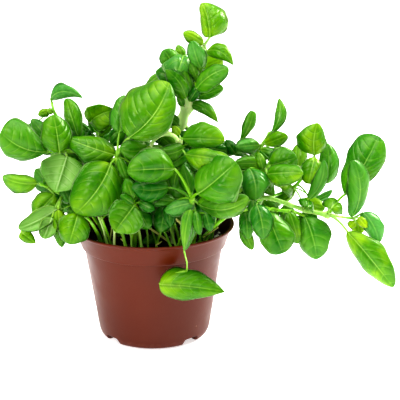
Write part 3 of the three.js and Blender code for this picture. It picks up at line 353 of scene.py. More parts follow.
            [4, -85, 144.5, -27, -122, 160.5, -32, 30, 3, -0.15, -10, 0.25, -4, 0.1, -0.15, 0.42, 0.8],
            [3.5, -84, 154, -14, -97, 171, -8, 12, 1, -0.5, 0, 0.3, 0, 0.1],
            [3, -69, 141, -28, -78, 112, -44, 33, 3, 0.3, 180],
        ],
        "hidden": [[1, -46, 122, -4, -56, 114, 18, 20, 3]],
        "filling": [
            [3, -70, 142, -16, -60, 132, -14, 13, 1, -0.4], [2.6, -64, 150, -16, -56, 162, -14, 10, 1, -0.2],
            [3.4, -80, 145, -20, -90, 152, -16, 12, 1, -0.5], [2, -54, 140, -8, -46, 130, -8, 14, 1, -0.7],
        ],
    },
    "stem_left_b": {
        "root": [-30, 12],
        "path": [[-42, 110, 14, 1.6], [-58, 142, 8, 1.5], [-72, 166, 2, 1.4], [-79, 176, 0, 1.4], [-81, 184, -1, 1.2]],
        "leaves": [
            [4, -82, 187, -3, -57, 187, -10, 13, 3, -0.5, 20, 0.3, -7, 0.6, 0, 0.8],
            [3, -83, 177, -2, -92, 174, -4, 7, 1, 0.3], [3, -94, 167, 0, -102, 160, 2, 7, 1, -0.3, 0, 0.3, 0, 0.3],
        ],
        "hidden": [[1.6, -62, 153, 12, -54, 158, 32, 14, 2], [1, -58, 140, 14, -68, 132, 34, 18, 3]],
        "filling": [
            [2, -70, 162, 0, -62, 170, 2, 9, 1, -0.2], [3, -80, 176, -2, -85, 178, -4, 5, 1, 0.5, 0, 0.3, 0, 0.3],
        ],
    },
    "stem_left_low": {
        "root": [-38, -18],
        "path": [
            [-46, 90, -24, 1.8], [-58, 104, -30, 1.8], [-72, 110, -34, 1.7], [-84, 116, -34, 1.6],
            [-91, 119, -34, 1.4],
        ],
        "leaves": [
            [4, -93, 119, -36, -120.5, 124.5, -42, 15, 2, 0.3, 0, 0.3, -2, 0.3, 0.1],
            [2.6, -80, 113, -26, -94, 131, -18, 17, 1, -0.4, 0, 0.3, 0, 0.4],
            [3, -79, 110, -38, -95, 93, -46, 20, 1, 0.2, 0, 0.3, 0, 0.1],
            [2, -77, 98.5, -42, -108, 83, -54, 15, 3, 0.2, 180, 0.3, 1],
            [2, -81, 92, -54, -87.5, 75, -58, 14, 1, 0.3, 180], [2, -76, 98, -24, -73, 68, -28, 12, 2, 0.1],
            [1.5, -64, 101, -36, -82, 107, -38, 16, 1, 0, 0, 0.3, 0, 0.5],
        ],
        "hidden": [[1, -56, 103, -18, -60, 105, 6, 18, 3, -0.2]],
        "filling": [
            [2, -106, 80.5, -56, -94, 71.5, -58, 10, 1, 0.6, 0, 0.3, 0, 0, 0, 0.8, 0.35, [-99, 87, -54]],
            [1.6, -66, 104, -38, -72, 116, -36, 12, 1, -0.1, 0, 0.3, 0, 0.5],
            [1, -58, 100, -26, -68, 92, -28, 13, 1, -0.5],
            [2, -76, 104, -32, -86, 116, -30, 12, 1, -0.5, 0, 0.3, 0, 0.2],
            [2, -75, 98, -50, -74, 69, -58, 11, 1, 0.4, 10, 0.3, 1],
        ],
    },
    "stem_left_front": {
        "root": [-38, -34],
        "path": [[-48, 86, -42, 1.5], [-54, 93, -48, 1.5]],
        "leaves": [[1, -60, 95, -50, -67, 71, -62, 25, 3, 0.1, 0, 0.4], [1, -51, 97, -46, -46, 111, -44, 12, 1, -0.2]],
    },
    "stem_left_thin": {
        "root": [-31, -38],
        "path": [[-41, 91, -46, 1.3], [-47, 105, -44, 1.2]],
        "leaves": [[1, -51, 107, -45, -62, 116, -46, 13, 1, -0.1], [1, -44, 108, -34, -38, 121, -28, 13, 1, -0.5]],
        "filling": [[0.6, -44, 99, -42, -56, 100, -40, 12, 1, -0.6]],
    },
    "stem_back_a": {
        "root": [-10, 20],
        "path": [[-14, 110, 26, 1.9], [-18, 140, 30, 1.8], [-20, 160, 32, 1.7], [-20, 171, 32, 1.2]],
        "hidden": [
            [3, -23, 172, 34, -32, 170, 52, 16, 2], [3, -16, 172, 32, -3, 174, 44, 16, 2, 0.2],
            [2, -24, 160, 32, -43, 154, 42, 22, 3], [2, -18, 158, 38, -8, 148, 62, 24, 3, 0.1],
            [1, -22, 140, 34, -38, 128, 58, 24, 3], [1, -14, 139, 28, 8, 134, 34, 22, 3, -0.2],
        ],
    },
    "stem_back_b": {
        "root": [15, 25],
        "path": [[20, 108, 32, 2.0], [26, 138, 38, 1.9], [30, 157, 40, 1.6], [30, 163, 40, 1.2]],
        "hidden": [
            [3, 33, 164, 42, 45, 163, 58, 15, 2, 0.2], [3, 27, 164, 40, 17, 166, 52, 14, 2],
            [2, 35, 160, 42, 56, 154, 50, 22, 3], [2, 27, 156, 46, 18, 142, 70, 24, 3, 0.1],
            [1, 31, 138, 42, 50, 126, 62, 24, 3], [1, 21, 136, 40, 6, 124, 62, 24, 3],
        ],
    },
    "stem_back_c": {
        "root": [38, 28],
        "path": [[50, 104, 36, 1.8], [66, 124, 42, 1.7], [76, 140, 44, 1.4]],
        "hidden": [
            [2, 81, 144, 46, 94, 144, 60, 17, 2, 0.2], [2, 73, 144, 46, 62, 146, 60, 16, 2],
            [1, 72, 124, 44, 92, 116, 54, 22, 3], [1, 62, 120, 48, 56, 104, 70, 22, 3, 0.1],
            [0, 55, 106, 38, 74, 102, 52, 19, 3],
        ],
    },
    "stem_back_d": {
        "root": [-34, 28],
        "path": [[-44, 104, 34, 1.8], [-56, 126, 40, 1.7], [-64, 142, 42, 1.4]],
        "hidden": [
            [2, -68, 145, 44, -82, 144, 56, 16, 2, 0.2], [2, -60, 146, 44, -50, 146, 60, 16, 2],
            [1, -61, 128, 42, -82, 124, 48, 21, 3], [1, -53, 126, 46, -48, 122, 70, 20, 3, 0.1],
            [0, -49, 106, 36, -68, 102, 48, 19, 3],
        ],
    },
    "stem_back_e": {
        "root": [0, 38],
        "path": [[2, 108, 44, 1.7], [4, 124, 54, 1.6], [4, 138, 58, 1.3]],
        "hidden": [
            [2, 4, 142, 62, 3, 147, 82, 17, 2, 0.2], [1.9, 9, 134, 60, 22, 127, 84, 19, 3],
            [1.8, -1, 134, 62, -16, 129, 82, 19, 3, 0.1], [1, 8, 122, 59, 20, 110, 84, 22, 3],
            [0.4, -2, 114, 52, -16, 110, 78, 20, 3],
        ],
    },
    "stem_back_f": {
        "root": [24, 34],
        "path": [[34, 106, 44, 1.5], [42, 118, 54, 1.4]],
        "hidden": [
            [1, 46, 119, 56, 62, 112, 72, 20, 3], [1, 41, 119, 59, 36, 112, 84, 20, 3, 0.1],
            [0, 39, 109, 48, 50, 110, 68, 16, 3],
        ],
    },
    "stem_back_g": {
        "root": [-24, 36],
        "path": [[-32, 104, 44, 1.5], [-40, 116, 54, 1.4]],
        "hidden": [[1, -44, 115, 60, -60, 106, 76, 20, 3], [1, -38, 118, 59, -33, 111, 84, 20, 3, 0.1]],
    },
}

# Leaves shown at a depth of their own, counted among their stem's leaves. Some stand nearer or farther than their
# solids, which had to stay clear of each other. The others stand at their solids' depth, which their tips, moved
# since, no longer show.
OWN_DEPTH = {
    ("stem_left_a", 1): -7, ("stem_left_b", 2): 2, ("stem_left_low", 3): -8, ("stem_left_low", 4): 0,
    ("stem_right_mid", 2): -6, ("stem_left_mid", 3): -4, ("stem_low_right", 3): -20, ("stem_tall", 8): 6,
    ("stem_tall", 13): -12, ("stem_tall", 18): 0, ("stem_far_right", 0): -4, ("stem_long_right", 5): -4,
    ("stem_back_b", 0): 0, ("stem_back_b", 1): -2,
}

# Thin stalks that stand among the stems just inside the rim: x and height as seen low down and high up,
# depth, radius, and tone.
STALKS = [
    [-42, 72, -50, 88, -34, 0.9, -0.1], [-37, 72, -44, 94, -40, 1.1, 0.4], [-31, 71, -32, 90, -44, 1.1, 0.6],
    [-22, 69, -27, 84, -46, 1.2, 0.2], [-17, 68.5, -19.5, 84, -44, 0.8, 0.3], [-14.5, 68.5, -14, 88, -38, 1.2, 0.0],
    [-9, 68, -14, 90, -46, 1.0, 0.2], [-4, 68, -6, 86, -40, 0.8, 0.1], [3, 68.5, -2, 84, -36, 0.8, -0.2],
    [28, 70.5, 24, 86, -34, 0.9, 0.0], [40, 73, 46, 88, -30, 0.8, 0.2], [14, 69, 6, 85, -44, 1.0, 0.1],
    [18, 69.5, 11, 88, -40, 1.0, -0.1], [22, 69.5, 15, 92, -36, 1.1, -0.2], [33, 71, 34, 90, -40, 0.9, -0.1],
    [38, 72, 36, 90, -34, 0.9, 0.0], [43, 74, 44, 92, -30, 1.0, -0.2], [47, 76, 50, 94, -24, 0.9, -0.1],
]

# Dry stalks that lie or lean on the mix: x, height and depth as seen of either end, and radius.
DRY_STALKS = [
    [12, 73, -40, -8, 86.5, -36, 0.9], [34, 75, -38, 14, 94.5, -42, 1.0], [-35, 73, -34, -33, 85, -30, 0.7],
    [2, 69.5, -44, 7, 73, -42, 0.6], [-22, 70, -44, -26, 75, -40, 0.5], [40, 76, -34, 52, 84, -22, 0.5],
]

# Large grains of perlite: place on the mix, x and y, and size.
GRAINS = [[49, -12, 1.5], [51.5, -4, 1.3], [46, -20, 1.2], [3, -50, 1.3], [-30, -42, 1.1], [44, -6, 1.0],
          [50, -16, 1.1], [52, -9, 1.0], [47, -16, 0.9], [50, -7, 1.2], [52.5, 0, 1.0], [48, -22, 1.0]]

# Thickets of small inner leaves: x and height as seen, half spans across and up, nearest and farthest depth, how many
# leaves, their shortest and longest, and their tone, a dark one that paints the shade inside the plant.
THICKETS = [
    [0, 118, 34, 26, -34, 30, 46, 15, 27, -0.6], [-50, 118, 26, 26, -28, 34, 30, 15, 27, -0.4],
    [48, 118, 26, 26, -34, 34, 34, 15, 27, -0.5], [-14, 150, 30, 16, -20, 34, 20, 14, 24, -0.5],
    [40, 148, 26, 16, -24, 34, 18, 14, 24, -0.5], [-66, 146, 24, 22, -14, 30, 14, 12, 22, -0.3],
    [-84, 108, 16, 22, -34, 14, 10, 12, 20, -0.3], [96, 126, 20, 24, -34, 20, 14, 12, 20, -0.2],
    [104, 90, 22, 20, -56, -16, 14, 14, 22, -0.3], [130, 124, 14, 24, -20, 10, 8, 12, 20, -0.1],
    [30, 200, 22, 30, -8, 14, 14, 9, 17, -0.3], [0, 96, 46, 14, -50, 0, 18, 12, 20, -0.6],
]

# Places where the light shows between the leaves: x and height as seen, and half spans.
GAPS = [
    [-29, 153, 5, 5], [-29.5, 137, 2, 5], [74, 141, 10, 5], [105, 115, 13, 6], [122, 112, 8, 12], [98, 99, 9, 3],
    [-62, 134, 6, 6], [30, 172, 8, 12], [100, 105, 8, 4], [114, 100.5, 8, 4], [130, 96, 8, 4], [-40, 186, 14, 6],
    [56, 190, 12, 14], [150, 108, 12, 14], [-98, 88, 4, 4],
]


def srgb(red, green, blue):
    """A screen colour of 0 to 255 as Blender's linear one: c/12.92 low down, ((c + 0.055)/1.055)^2.4 above."""
    c = np.array([red, green, blue]) / 255
    return tuple(float(v) for v in np.where(c <= 0.04045, c / 12.92, ((c + 0.055) / 1.055) ** 2.4))


def unit(v):
    """A vector divided by its length."""
    return v / np.linalg.norm(v, axis=-1, keepdims=True)


def round_turn(count):
    """Angles of one full turn in equal steps."""
    return np.linspace(0, 2 * np.pi, count, endpoint=False)


def seen(x, up, y):
    """A place seen at x and up on the plane that faces the viewer, moved along the sight line to depth y."""
    rise = up - AIM_UP
    focus = np.array([x, AIM[1] + rise * math.sin(TILT), AIM[2] + rise * math.cos(TILT)])
    return EYE + (focus - EYE) * (y - EYE[1]) / (focus[1] - EYE[1])


def flat_place(points):
    """The x and height at which points are seen, the reverse of seen."""
    down = np.array([0, math.cos(TILT), -math.sin(TILT)])
    rising = np.array([0, math.sin(TILT), math.cos(TILT)])
    away = points - EYE
    on_plane = EYE + away * (((AIM - EYE) @ down) / (away @ down))[:, None]
    return on_plane[:, 0], (on_plane - AIM) @ rising + AIM_UP


def closed_skin(rings, first, last):
    """Points, quads and triangles of a grid of closed rings, each end drawn together at a point, faces outwards."""
    rows, columns = rings.shape[:2]
    points = np.concatenate([rings.reshape(-1, 3), [first, last]])
    row, k = np.arange(rows - 1)[:, None] * columns, np.arange(columns)
    after = (k + 1) % columns
    quads = np.stack([row + k, row + after, row + after + columns, row + k + columns], -1).reshape(-1, 4)
    pole, end = rows * columns, (rows - 1) * columns
    low = np.stack([after, k, np.full(columns, pole)], -1)
    high = np.stack([k + end, after + end, np.full(columns, pole + 1)], -1)
    triangles = np.concatenate([low, high])
    halves = np.concatenate([quads[:, [0, 1, 2]], quads[:, [0, 2, 3]], triangles])
    a, b, c = (points[halves[:, corner]] - points[0] for corner in range(3))
    if np.einsum("ij,ij->i", a, np.cross(b, c)).sum() < 0:
        quads, triangles = quads[:, ::-1], triangles[:, ::-1]
    return points, quads, triangles


def bent_line(start, bend, end, count):
    """Points from start to end on a curve drawn towards bend: start (1 - u)^2 + bend 2u(1 - u) + end u^2."""
    u = np.linspace(0, 1, count)[:, None]
    return start * (1 - u) ** 2 + bend * 2 * u * (1 - u) + end * u ** 2


def curve_through(points, values, steps):
    """A smooth curve through the points, a Catmull-Rom spline, with the values carried along it."""
    points, values = np.asarray(points, float), np.asarray(values, float)
    ends = np.concatenate([[2 * points[0] - points[1]], points, [2 * points[-1] - points[-2]]])
    u = (np.arange(steps) / steps)[:, None]
    spans, carried = [], []
    for i in range(len(points) - 1):
        a, b, c, d = ends[i:i + 4]
        squared, cubed = 2 * a - 5 * b + 4 * c - d, 3 * b - a - 3 * c + d
        spans.append(0.5 * (2 * b + (c - a) * u + squared * u ** 2 + cubed * u ** 3))
        carried.append(values[i] + (values[i + 1] - values[i]) * u[:, 0])
    return np.concatenate([*spans, points[-1:]]), np.concatenate([*carried, values[-1:]])


def rings_round(line, radii, across, angles, square=0.0):
    """Rings of points round a line: each ring's first direction is the last one's with its part along the line
    taken out. A square above 0 swells the radius four times round, as r (1 + square cos 4a)."""
    ways = unit(np.gradient(line, axis=0))
    sides = []
    for way in ways:
        across = unit(across - way * (across @ way))
        sides.append(across)
    sides = np.array(sides)
    ups = np.cross(sides, ways)
    swell = radii[:, None] * (1 + square * np.cos(4 * angles))[None, :]
    return (line[:, None] + sides[:, None] * (-np.cos(angles) * swell)[..., None]
            + ups[:, None] * (np.sin(angles) * swell)[..., None])


def half_width(s, wide, point, neck):
    """Half a blade's width at s along it, s^neck (1 - s)^point brought to 0.5 wide where it is greatest."""
    crest = neck / (neck + point)
    return 0.5 * wide * (s / crest) ** neck * ((1 - s) / (1 - crest)) ** point


def blade_frame(base, tip, turn, sky):
    """A blade's run from base to tip, the way its upper face looks and its right-hand side. The face looks at the
    sky and outwards, or else at the viewer, and is then turned about the midrib."""
    run = tip - base
    along = unit(run)
    middle = (base + tip) / 2
    if sky:
        outward = unit(np.array([middle[0], middle[1], 0.0])) * 0.6
        toward = unit(np.array([outward[0], outward[1], 1.0]))
    else:
        toward = unit(EYE - middle)
    face = unit(toward - along * (toward @ along))
    angle = math.radians(turn)
    face = face * math.cos(angle) + np.cross(along, face) * math.sin(angle)
    return run, face, np.cross(along, face)


def blade_rows(length):
    """Where a blade's rows lie, 0 at its base and 1 at its tip, with the count of side veins passed at each.
    Rows crowd at the base, where the first veins fan out, and lie close to each vein."""
    veins = int(np.clip(round(2 + length / 14), 3, 6))
    marks = 0.05 + 0.87 * (np.arange(veins + 1) / veins) ** 1.12
    fan = [1e-6, 1e-5, 1e-4, 7e-4, 3e-3, 0.01, 0.025]
    steps = np.array([0.0, 0.1, 0.3, 0.5, 0.7, 0.9]) if length > 22 else np.array([0.0, 0.15, 0.5, 0.85])
    body = (marks[:-1, None] + np.diff(marks)[:, None] * steps).ravel()
    rows = np.array([*fan, *body, marks[-1], 0.95, 0.975, 0.99, 0.998])
    return rows[:, None], np.interp(rows, [0, *marks, 1], [-0.5, *range(veins + 1), veins + 0.5])[:, None]


def leaf_skin(base, tip, form, start, sky, number):
    """A leaf as one closed skin, rings round its petiole and then round its blade.

    A row r of the blade follows a side vein: at t across, of which e is the size, it has climbed to
    s = r^(1 - 0.69 e^1.4) of the way to the tip. A point of the blade's middle is base + run s
    + side (h t + sway 4s(1 - s)) + face (arch 4s(1 - s) - cup h t^2 + quilting), h being the half width, uneven by
    a few hundredths. The quilting is sin(pi v)^0.5 between veins, v counting them. Seeded draws add a wave along
    the margin, a twist about the midrib and a droop of the tip, and the margin rolls under.
    """
    wide, arch, tone, turn, cup, sway, grey_sheen, lean, point, neck = (*form, *PLAIN_FORM[len(form) - 2:])
    chance = np.random.default_rng(SEED + number)
    run, face, side = blade_frame(base, tip, turn, sky)
    length = float(np.linalg.norm(run))
    across = 2 * int(np.clip(round(wide / 3), 4, 11))
    turns = np.arange(2 * across)
    t = np.where(turns <= across, -1 + 2 * turns / across, 3 - 2 * turns / across)
    upper = np.where((turns > 0) & (turns < across), 1.0, 0.0)
    lower = np.where(turns > across, 1.0, 0.0)

    rows, vein = blade_rows(length)
    edge = np.abs(t)[None, :]
    s = rows ** (1 - (0.69 + chance.uniform(-0.05, 0.05)) * edge ** 1.4)
    hump = 4 * s * (1 - s)
    phases = chance.uniform(0, 1, 4)[:3]
    wobble = 0.06 * np.sin(2 * np.pi * (1.3 * s + phases[0])) + 0.035 * np.sin(2 * np.pi * (2.9 * s + phases[1]))
    uneven = 1 + np.where(t < 0, 1, -0.6)[None, :] * wobble * edge
    h = half_width(s, wide, point, neck) * (1 - lean * np.sign(t)) * uneven
    quilt = (0.3 + 0.035 * h) * np.abs(np.sin(np.pi * vein)) ** 0.5 * np.sqrt(edge) * (1 - edge ** 4) * np.sqrt(hump)
    pillow = 0.2 * h * np.sin(np.pi * edge ** 0.7) * (1 - s) ** 0.6
    wave = 0.15 * h * edge ** 2 * np.sin(2 * np.pi * (1.4 * s + phases[2] + 0.37 * (t > 0)))
    roll = (0.12 + 0.3 * chance.uniform() * (t > 0)) * h * edge ** 4
    twist = np.tan(math.radians(chance.uniform(-18, 18)) * (s - 0.35))
    droop = chance.uniform(0.0, 0.08) * length
    rise = arch * hump - cup * h * t ** 2 + quilt + pillow + wave - roll - droop * s ** 3 + h * t * twist
    body = BLADE_HALF_THICK * (1 - edge ** 4)
    rib = RIB_DEPTH * np.exp(-(h * t / 0.8) ** 2) * (1 - s) ** 0.6
    rise = rise + upper * body - lower * (body + rib) - upper * 0.3 * rib
    blade = base + run * s[..., None] + side * (h * t + sway * hump)[..., None] + face * rise[..., None]

    reach = np.linalg.norm(base - start)
    knee = (start + base) / 2 + np.array([0, 0, 0.1 * reach if reach >= 9 else 0.0])
    line = bent_line(start, 2 * knee - (start + base) / 2, base, PETIOLE_RINGS)
    u = np.linspace(0, 1, PETIOLE_RINGS)
    width = np.interp(u, [0, 0.5, 1], [0.95, 0.72, 0.62]) * min(1.4, 0.5 + wide / 30)
    stalk = rings_round(line[::-1], width[::-1], side, np.pi * turns / across)[::-1]

    skin = closed_skin(np.concatenate([stalk, blade]), start, tip - face * droop)
    petiole, flat, size = np.ones((len(u), len(turns))), np.ones((len(rows), len(turns))), len(skin[0])

    def spread(low, high, at_tip):
        return np.concatenate([(low * petiole).ravel(), (high * flat).ravel(), [-1.0, at_tip]])

    return (*skin, {
        "along": spread(u[:, None] - 1, s, 1),
        "off": spread(0, np.abs(h * t), 0),
        "vein": spread(0, vein, 0),
        "edge": spread(0, edge, 1),
        "under": spread(0.5, 0.5 - 0.5 * upper + 0.5 * lower, 0.5),
        "tone": np.full(size, tone + chance.uniform(-0.08, 0.08)),
        "grey_sheen": np.full(size, float(grey_sheen)),
        "bold": np.full(size, min(1.0, wide / 30) * chance.uniform(0.5, 1.0)),
    })


def stem_skin(points, radii, tone, swellings=()):
    """A stem as a closed tube along a smooth curve, faintly square as basil stems are, and thicker by a third
    where leaves join it: r (1 + 0.3 exp(-(distance / 3)^2))."""
    line, width = curve_through(points, radii, 7)
    for joint in swellings:
        width = width * (1 + 0.3 * np.exp(-(np.linalg.norm(line - joint, axis=1) / 3) ** 2))
    rings = rings_round(line, width, np.array([1, 0.3, 0.1]), round_turn(STEM_SIDES), 0.07)
    skin = closed_skin(rings, line[0], line[-1] + unit(line[-1] - line[-2]) * width[-1] * 0.5)
    marks = {"off": 0, "vein": 0, "edge": 0, "grey_sheen": 0, "bold": 0, "along": -2, "under": 0.5, "tone": tone}
    return (*skin, {mark: np.full(len(skin[0]), float(value)) for mark, value in marks.items()})


def new_object(name, data):
    """An object of the data, put in the scene."""
    thing = bpy.data.objects.new(name, data)
    bpy.context.scene.collection.objects.link(thing)
    return thing


def make_piece(name, skins, materials, firsts=0):
    """One mesh object from skins of points, quads, triangles and marks, in metres with its place in its mesh. The
    first skins, as many as given, have the second material."""
    points = np.concatenate([skin[0] for skin in skins]) * MM
    starts = np.cumsum([0] + [len(skin[0]) for skin in skins[:-1]])
    quads, triangles = (
        np.concatenate([skin[part] + start for skin, start in zip(skins, starts)]) for part in (1, 2))
    corners = np.concatenate([quads.ravel(), triangles.ravel()])
    begins = np.concatenate([np.arange(len(quads)) * 4, len(quads) * 4 + np.arange(len(triangles)) * 3])
    mesh = bpy.data.meshes.new(name)
    mesh.vertices.add(len(points))
    mesh.vertices.foreach_set("co", points.astype(np.float32).ravel())
    mesh.loops.add(len(corners))
    mesh.loops.foreach_set("vertex_index", corners.astype(np.int32))
    mesh.polygons.add(len(begins))
    mesh.polygons.foreach_set("loop_start", begins.astype(np.int32))
    mesh.polygons.foreach_set("use_smooth", np.full(len(begins), True))
    if firsts:
        second = [np.full(len(skin[part]), int(i < firsts)) for part in (1, 2) for i, skin in enumerate(skins)]
        mesh.polygons.foreach_set("material_index", np.concatenate(second).astype(np.int32))
    for mark in skins[0][3]:
        values = np.concatenate([skin[3][mark] for skin in skins])
        mesh.attributes.new(mark, "FLOAT", "POINT").data.foreach_set("value", values.astype(np.float32))
    mesh.update(calc_edges=True)
    mesh.validate()
    for material in materials:
        mesh.materials.append(material)
    piece = new_object(name, mesh)
    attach(piece, "root")
    return piece


class Paint:
    """A node material in the making: each call adds a node and gives back its output."""

    def __init__(self, name):
        self.material = bpy.data.materials.new(name)
        self.material.use_nodes = True
        self.tree = self.material.node_tree
        self.shader = self.tree.nodes["Principled BSDF"]
        self.place = self.add("TexCoord", {}, "Object")

    def put(self, socket, value):
        """Link a node's output to a socket, or set a plain value on the socket itself."""
        if isinstance(value, bpy.types.NodeSocket):
            self.tree.links.new(value, socket)
        elif value is not None:
            socket.default_value = (*value, 1) if socket.type == "RGBA" and len(value) == 3 else value

    def add(self, kind, inputs, output=0, **settings):
        """A new node's output, after its settings and inputs are made."""
        node = self.tree.nodes.new("ShaderNode" + kind)
        for name, value in settings.items():
            setattr(node, name, value)
        for socket, value in inputs.items():
            self.put(node.inputs[socket], value)
        return node.outputs[output]

    def math(self, operation, a, b=None):
        """One step of arithmetic on one or two values."""
        return self.add("Math", {0: a, 1: b}, operation=operation)

    def times(self, product, *others):
        """All the values multiplied."""
        for other in others:
            product = self.math("MULTIPLY", product, other)
        return product

    def layers(self, colour, *over):
        """A colour with others laid over it in turn, each by its own factor."""
        for factor, other in over:
            colour = self.add("Mix", {0: factor, 6: colour, 7: other}, 2, data_type="RGBA")
        return colour

    def fit(self, value, low, high, to_low=0.0, to_high=1.0):
        """A value eased from one range to another."""
        inputs = dict(enumerate((value, low, high, to_low, to_high)))
        return self.add("MapRange", inputs, interpolation_type="SMOOTHSTEP")

    def mark(self, name):
        """A mark that the mesh carries."""
        return self.add("Attribute", {}, "Fac", attribute_name=name)

    def noise(self, scale, detail, stretch=None):
        """Clouds at a scale to the metre, stretched where that is given."""
        place = self.add("Mapping", {"Vector": self.place, "Scale": stretch}) if stretch else self.place
        return self.add("TexNoise", {"Vector": place, "Scale": scale, "Detail": detail}, "Fac")

    def surface(self, colour, roughness, fixed, height, distance, strength):
        """Set the shader: its colour, its roughness, what is the same all over, and its bumps."""
        bump = self.add("Bump", {"Strength": strength, "Distance": distance, "Height": height})
        for name, value in {"Base Color": colour, "Roughness": roughness, "Normal": bump, **fixed}.items():
            self.put(self.shader.inputs[name], value)
        return self.material


def leaf_material(looks):
    """Leaf and stem: colour by each leaf's tone, whose dark values are painted shade, and greyish green that is partly
    painted sheen; pale thin veins with painted shade in the furrows beside them and a painted highlight on the slope
    above them, paler underside, a band of painted shade inside the margin and a thin painted highlight on it, light
    coming through the blade, and pale green where a petiole is, darkened as painted shade for a dark leaf."""
    paint = Paint("Basil leaf and stem")
    fit, times = paint.fit, paint.times
    tone, grey_sheen, along, edge, off, vein, bold, under = (
        paint.mark(name) for name in ("tone", "grey_sheen", "along", "edge", "off", "vein", "bold", "under"))
    cloud = paint.noise(45, 3)
    shade = paint.math("ADD", tone, fit(cloud, 0.32, 0.68, -0.5, 0.4))
    shade = paint.math("ADD", shade, fit(along, 0.0, 0.3, 0.2, 0.0))

    # How far past the nearest side vein a point is, and from that the vein, the painted shade in the furrows beside it
    # and the painted highlight on the slope above it.
    beside = paint.math("SUBTRACT", paint.math("FRACT", paint.math("ADD", vein, 100.5)), 0.5)
    spread = times(fit(edge, 0.95, 0.4), bold, fit(paint.noise(110, 2), 0.38, 0.6, 0.15, 1.0))
    line = times(fit(paint.math("ABSOLUTE", beside), 0.07, 0.03), spread)
    lit = times(fit(beside, 0.02, -0.1), fit(beside, -0.45, -0.15), spread)
    rib = times(fit(off, 0.5, 0.15), fit(along, 1.0, 0.5))
    # Painted shade in the furrows beside the side veins and either side of the midrib.
    painted_furrow_shade = paint.math(
        "MAXIMUM", times(fit(beside, 0.02, 0.06), fit(beside, 0.2, 0.08), spread),
        times(fit(off, 0.4, 0.9), fit(off, 2.6, 1.0), 0.5))

    # The underside also takes painted shade in its furrows.
    below = paint.layers(
        looks.under, (times(painted_furrow_shade, 0.7), looks.middle),
        (times(paint.math("MAXIMUM", rib, line), 0.9), looks.rib_below_and_rim_highlight))
    # A petiole is paler for a bright leaf and darker for a dark one; the darkening is painted shade.
    stalk = paint.layers(
        looks.stem, (fit(tone, -0.2, 1.2), looks.stem_pale), (fit(tone, -0.1, -0.9, 0.0, 0.7), looks.dark))
    colour = paint.layers(
        looks.dark, (fit(shade, -1.0, 0.1), looks.middle), (fit(shade, 0.0, 1.0), looks.bright),
        (fit(shade, 1.0, 2.0), looks.young), (grey_sheen, looks.grey_sheen),
        # Painted highlight on each vein's slope and painted shade in the furrows, then the pale veins and midrib.
        (times(lit, 0.16), looks.bright), (times(painted_furrow_shade, 0.6), looks.dark), (times(line, 0.35), looks.vein),
        (times(rib, fit(bold, 0.2, 0.9, 0.25, 0.8)), looks.vein), (times(fit(under, 0.5, 1.0), 0.9), below),
        # Painted shade in a band inside the margin, where it curls away, and a thin painted highlight on the margin
        # itself.
        (fit(edge, 0.55, 0.95, 0.0, 0.3), looks.dark), (fit(edge, 0.94, 1.0, 0.0, 0.6), looks.rib_below_and_rim_highlight),
        (fit(along, 0.03, -0.25), stalk))
    fixed = {"Specular IOR Level": 0.5, "Specular Tint": (1.0, 1.0, 0.75), "Sheen Weight": 0.03,
             "Sheen Roughness": 0.35, "Sheen Tint": srgb(196, 236, 190)}
    paint.surface(colour, fit(cloud, 0.3, 0.7, looks.gloss - 0.05, looks.gloss + 0.09), fixed,
                  paint.noise(900, 2), 0.0002, 0.4)

    glow = paint.add("BsdfTranslucent", {"Color": paint.layers(colour, (0.5, looks.through))})
    both = paint.add("MixShader", {0: looks.light_through, 1: paint.shader.outputs[0], 2: glow})
    paint.put(paint.tree.nodes["Material Output"].inputs["Surface"], both)
    return paint.material


def stem_material(looks):
    """Stem: green to whitish by its tone, drawn out in faint streaks, with a soft gloss."""
    paint = Paint("Basil stem")
    fit, tone, streak = paint.fit, paint.mark("tone"), paint.noise(200, 3, (1, 1, 0.12))
    colour = paint.layers(
        looks.stem, (fit(tone, 0.0, 1.0), looks.stem_pale), (fit(tone, 0.0, -1.0, 0.0, 0.6), looks.dark),
        (fit(streak, 0.42, 0.7, 0.0, 0.3), looks.middle), (fit(streak, 0.5, 0.3, 0.0, 0.35), looks.stem_pale))
    fixed = {"Subsurface Weight": 0.6, "Subsurface Radius": (0.6, 1.0, 0.4), "Subsurface Scale": 0.004}
    return paint.surface(colour, fit(streak, 0.3, 0.7, looks.gloss + 0.02, looks.gloss + 0.14), fixed,
                         streak, 0.0002, 0.4)


def pot_material(looks):
    """Moulded polypropylene: even terracotta brown with faint clouding, drawn flow lines, a satin face, a little
    scuffing near the foot and a few pale moulding specks."""
    paint = Paint("Moulded pot plastic")
    fit, flow = paint.fit, paint.noise(30, 3, (1, 1, 0.12))
    cells = paint.add("TexVoronoi", {"Vector": paint.place, "Scale": 55}, "Distance")
    height = paint.add("SeparateXYZ", {0: paint.place}, 2)
    speck = paint.times(fit(cells, 0.028, 0.012), fit(paint.noise(23, 1), 0.55, 0.6))
    scuff = paint.times(fit(height, 0.008, 0.0, 0.0, 0.12), fit(paint.noise(300, 4), 0.5, 0.7))
    colour = paint.layers(
        looks.colour, (fit(paint.noise(14, 4), 0.3, 0.7), looks.shade), (fit(flow, 0.45, 0.75, 0.0, 0.25), looks.shade),
        (speck, looks.speck), (scuff, looks.speck))
    grain = paint.math("ADD", paint.noise(700, 2), paint.times(flow, 1.5))
    rough = fit(paint.noise(70, 3), 0.3, 0.7, looks.gloss - 0.04, looks.gloss + 0.06)
    return paint.surface(colour, rough, {"Specular IOR Level": 0.33}, grain, 0.0002, 0.25)


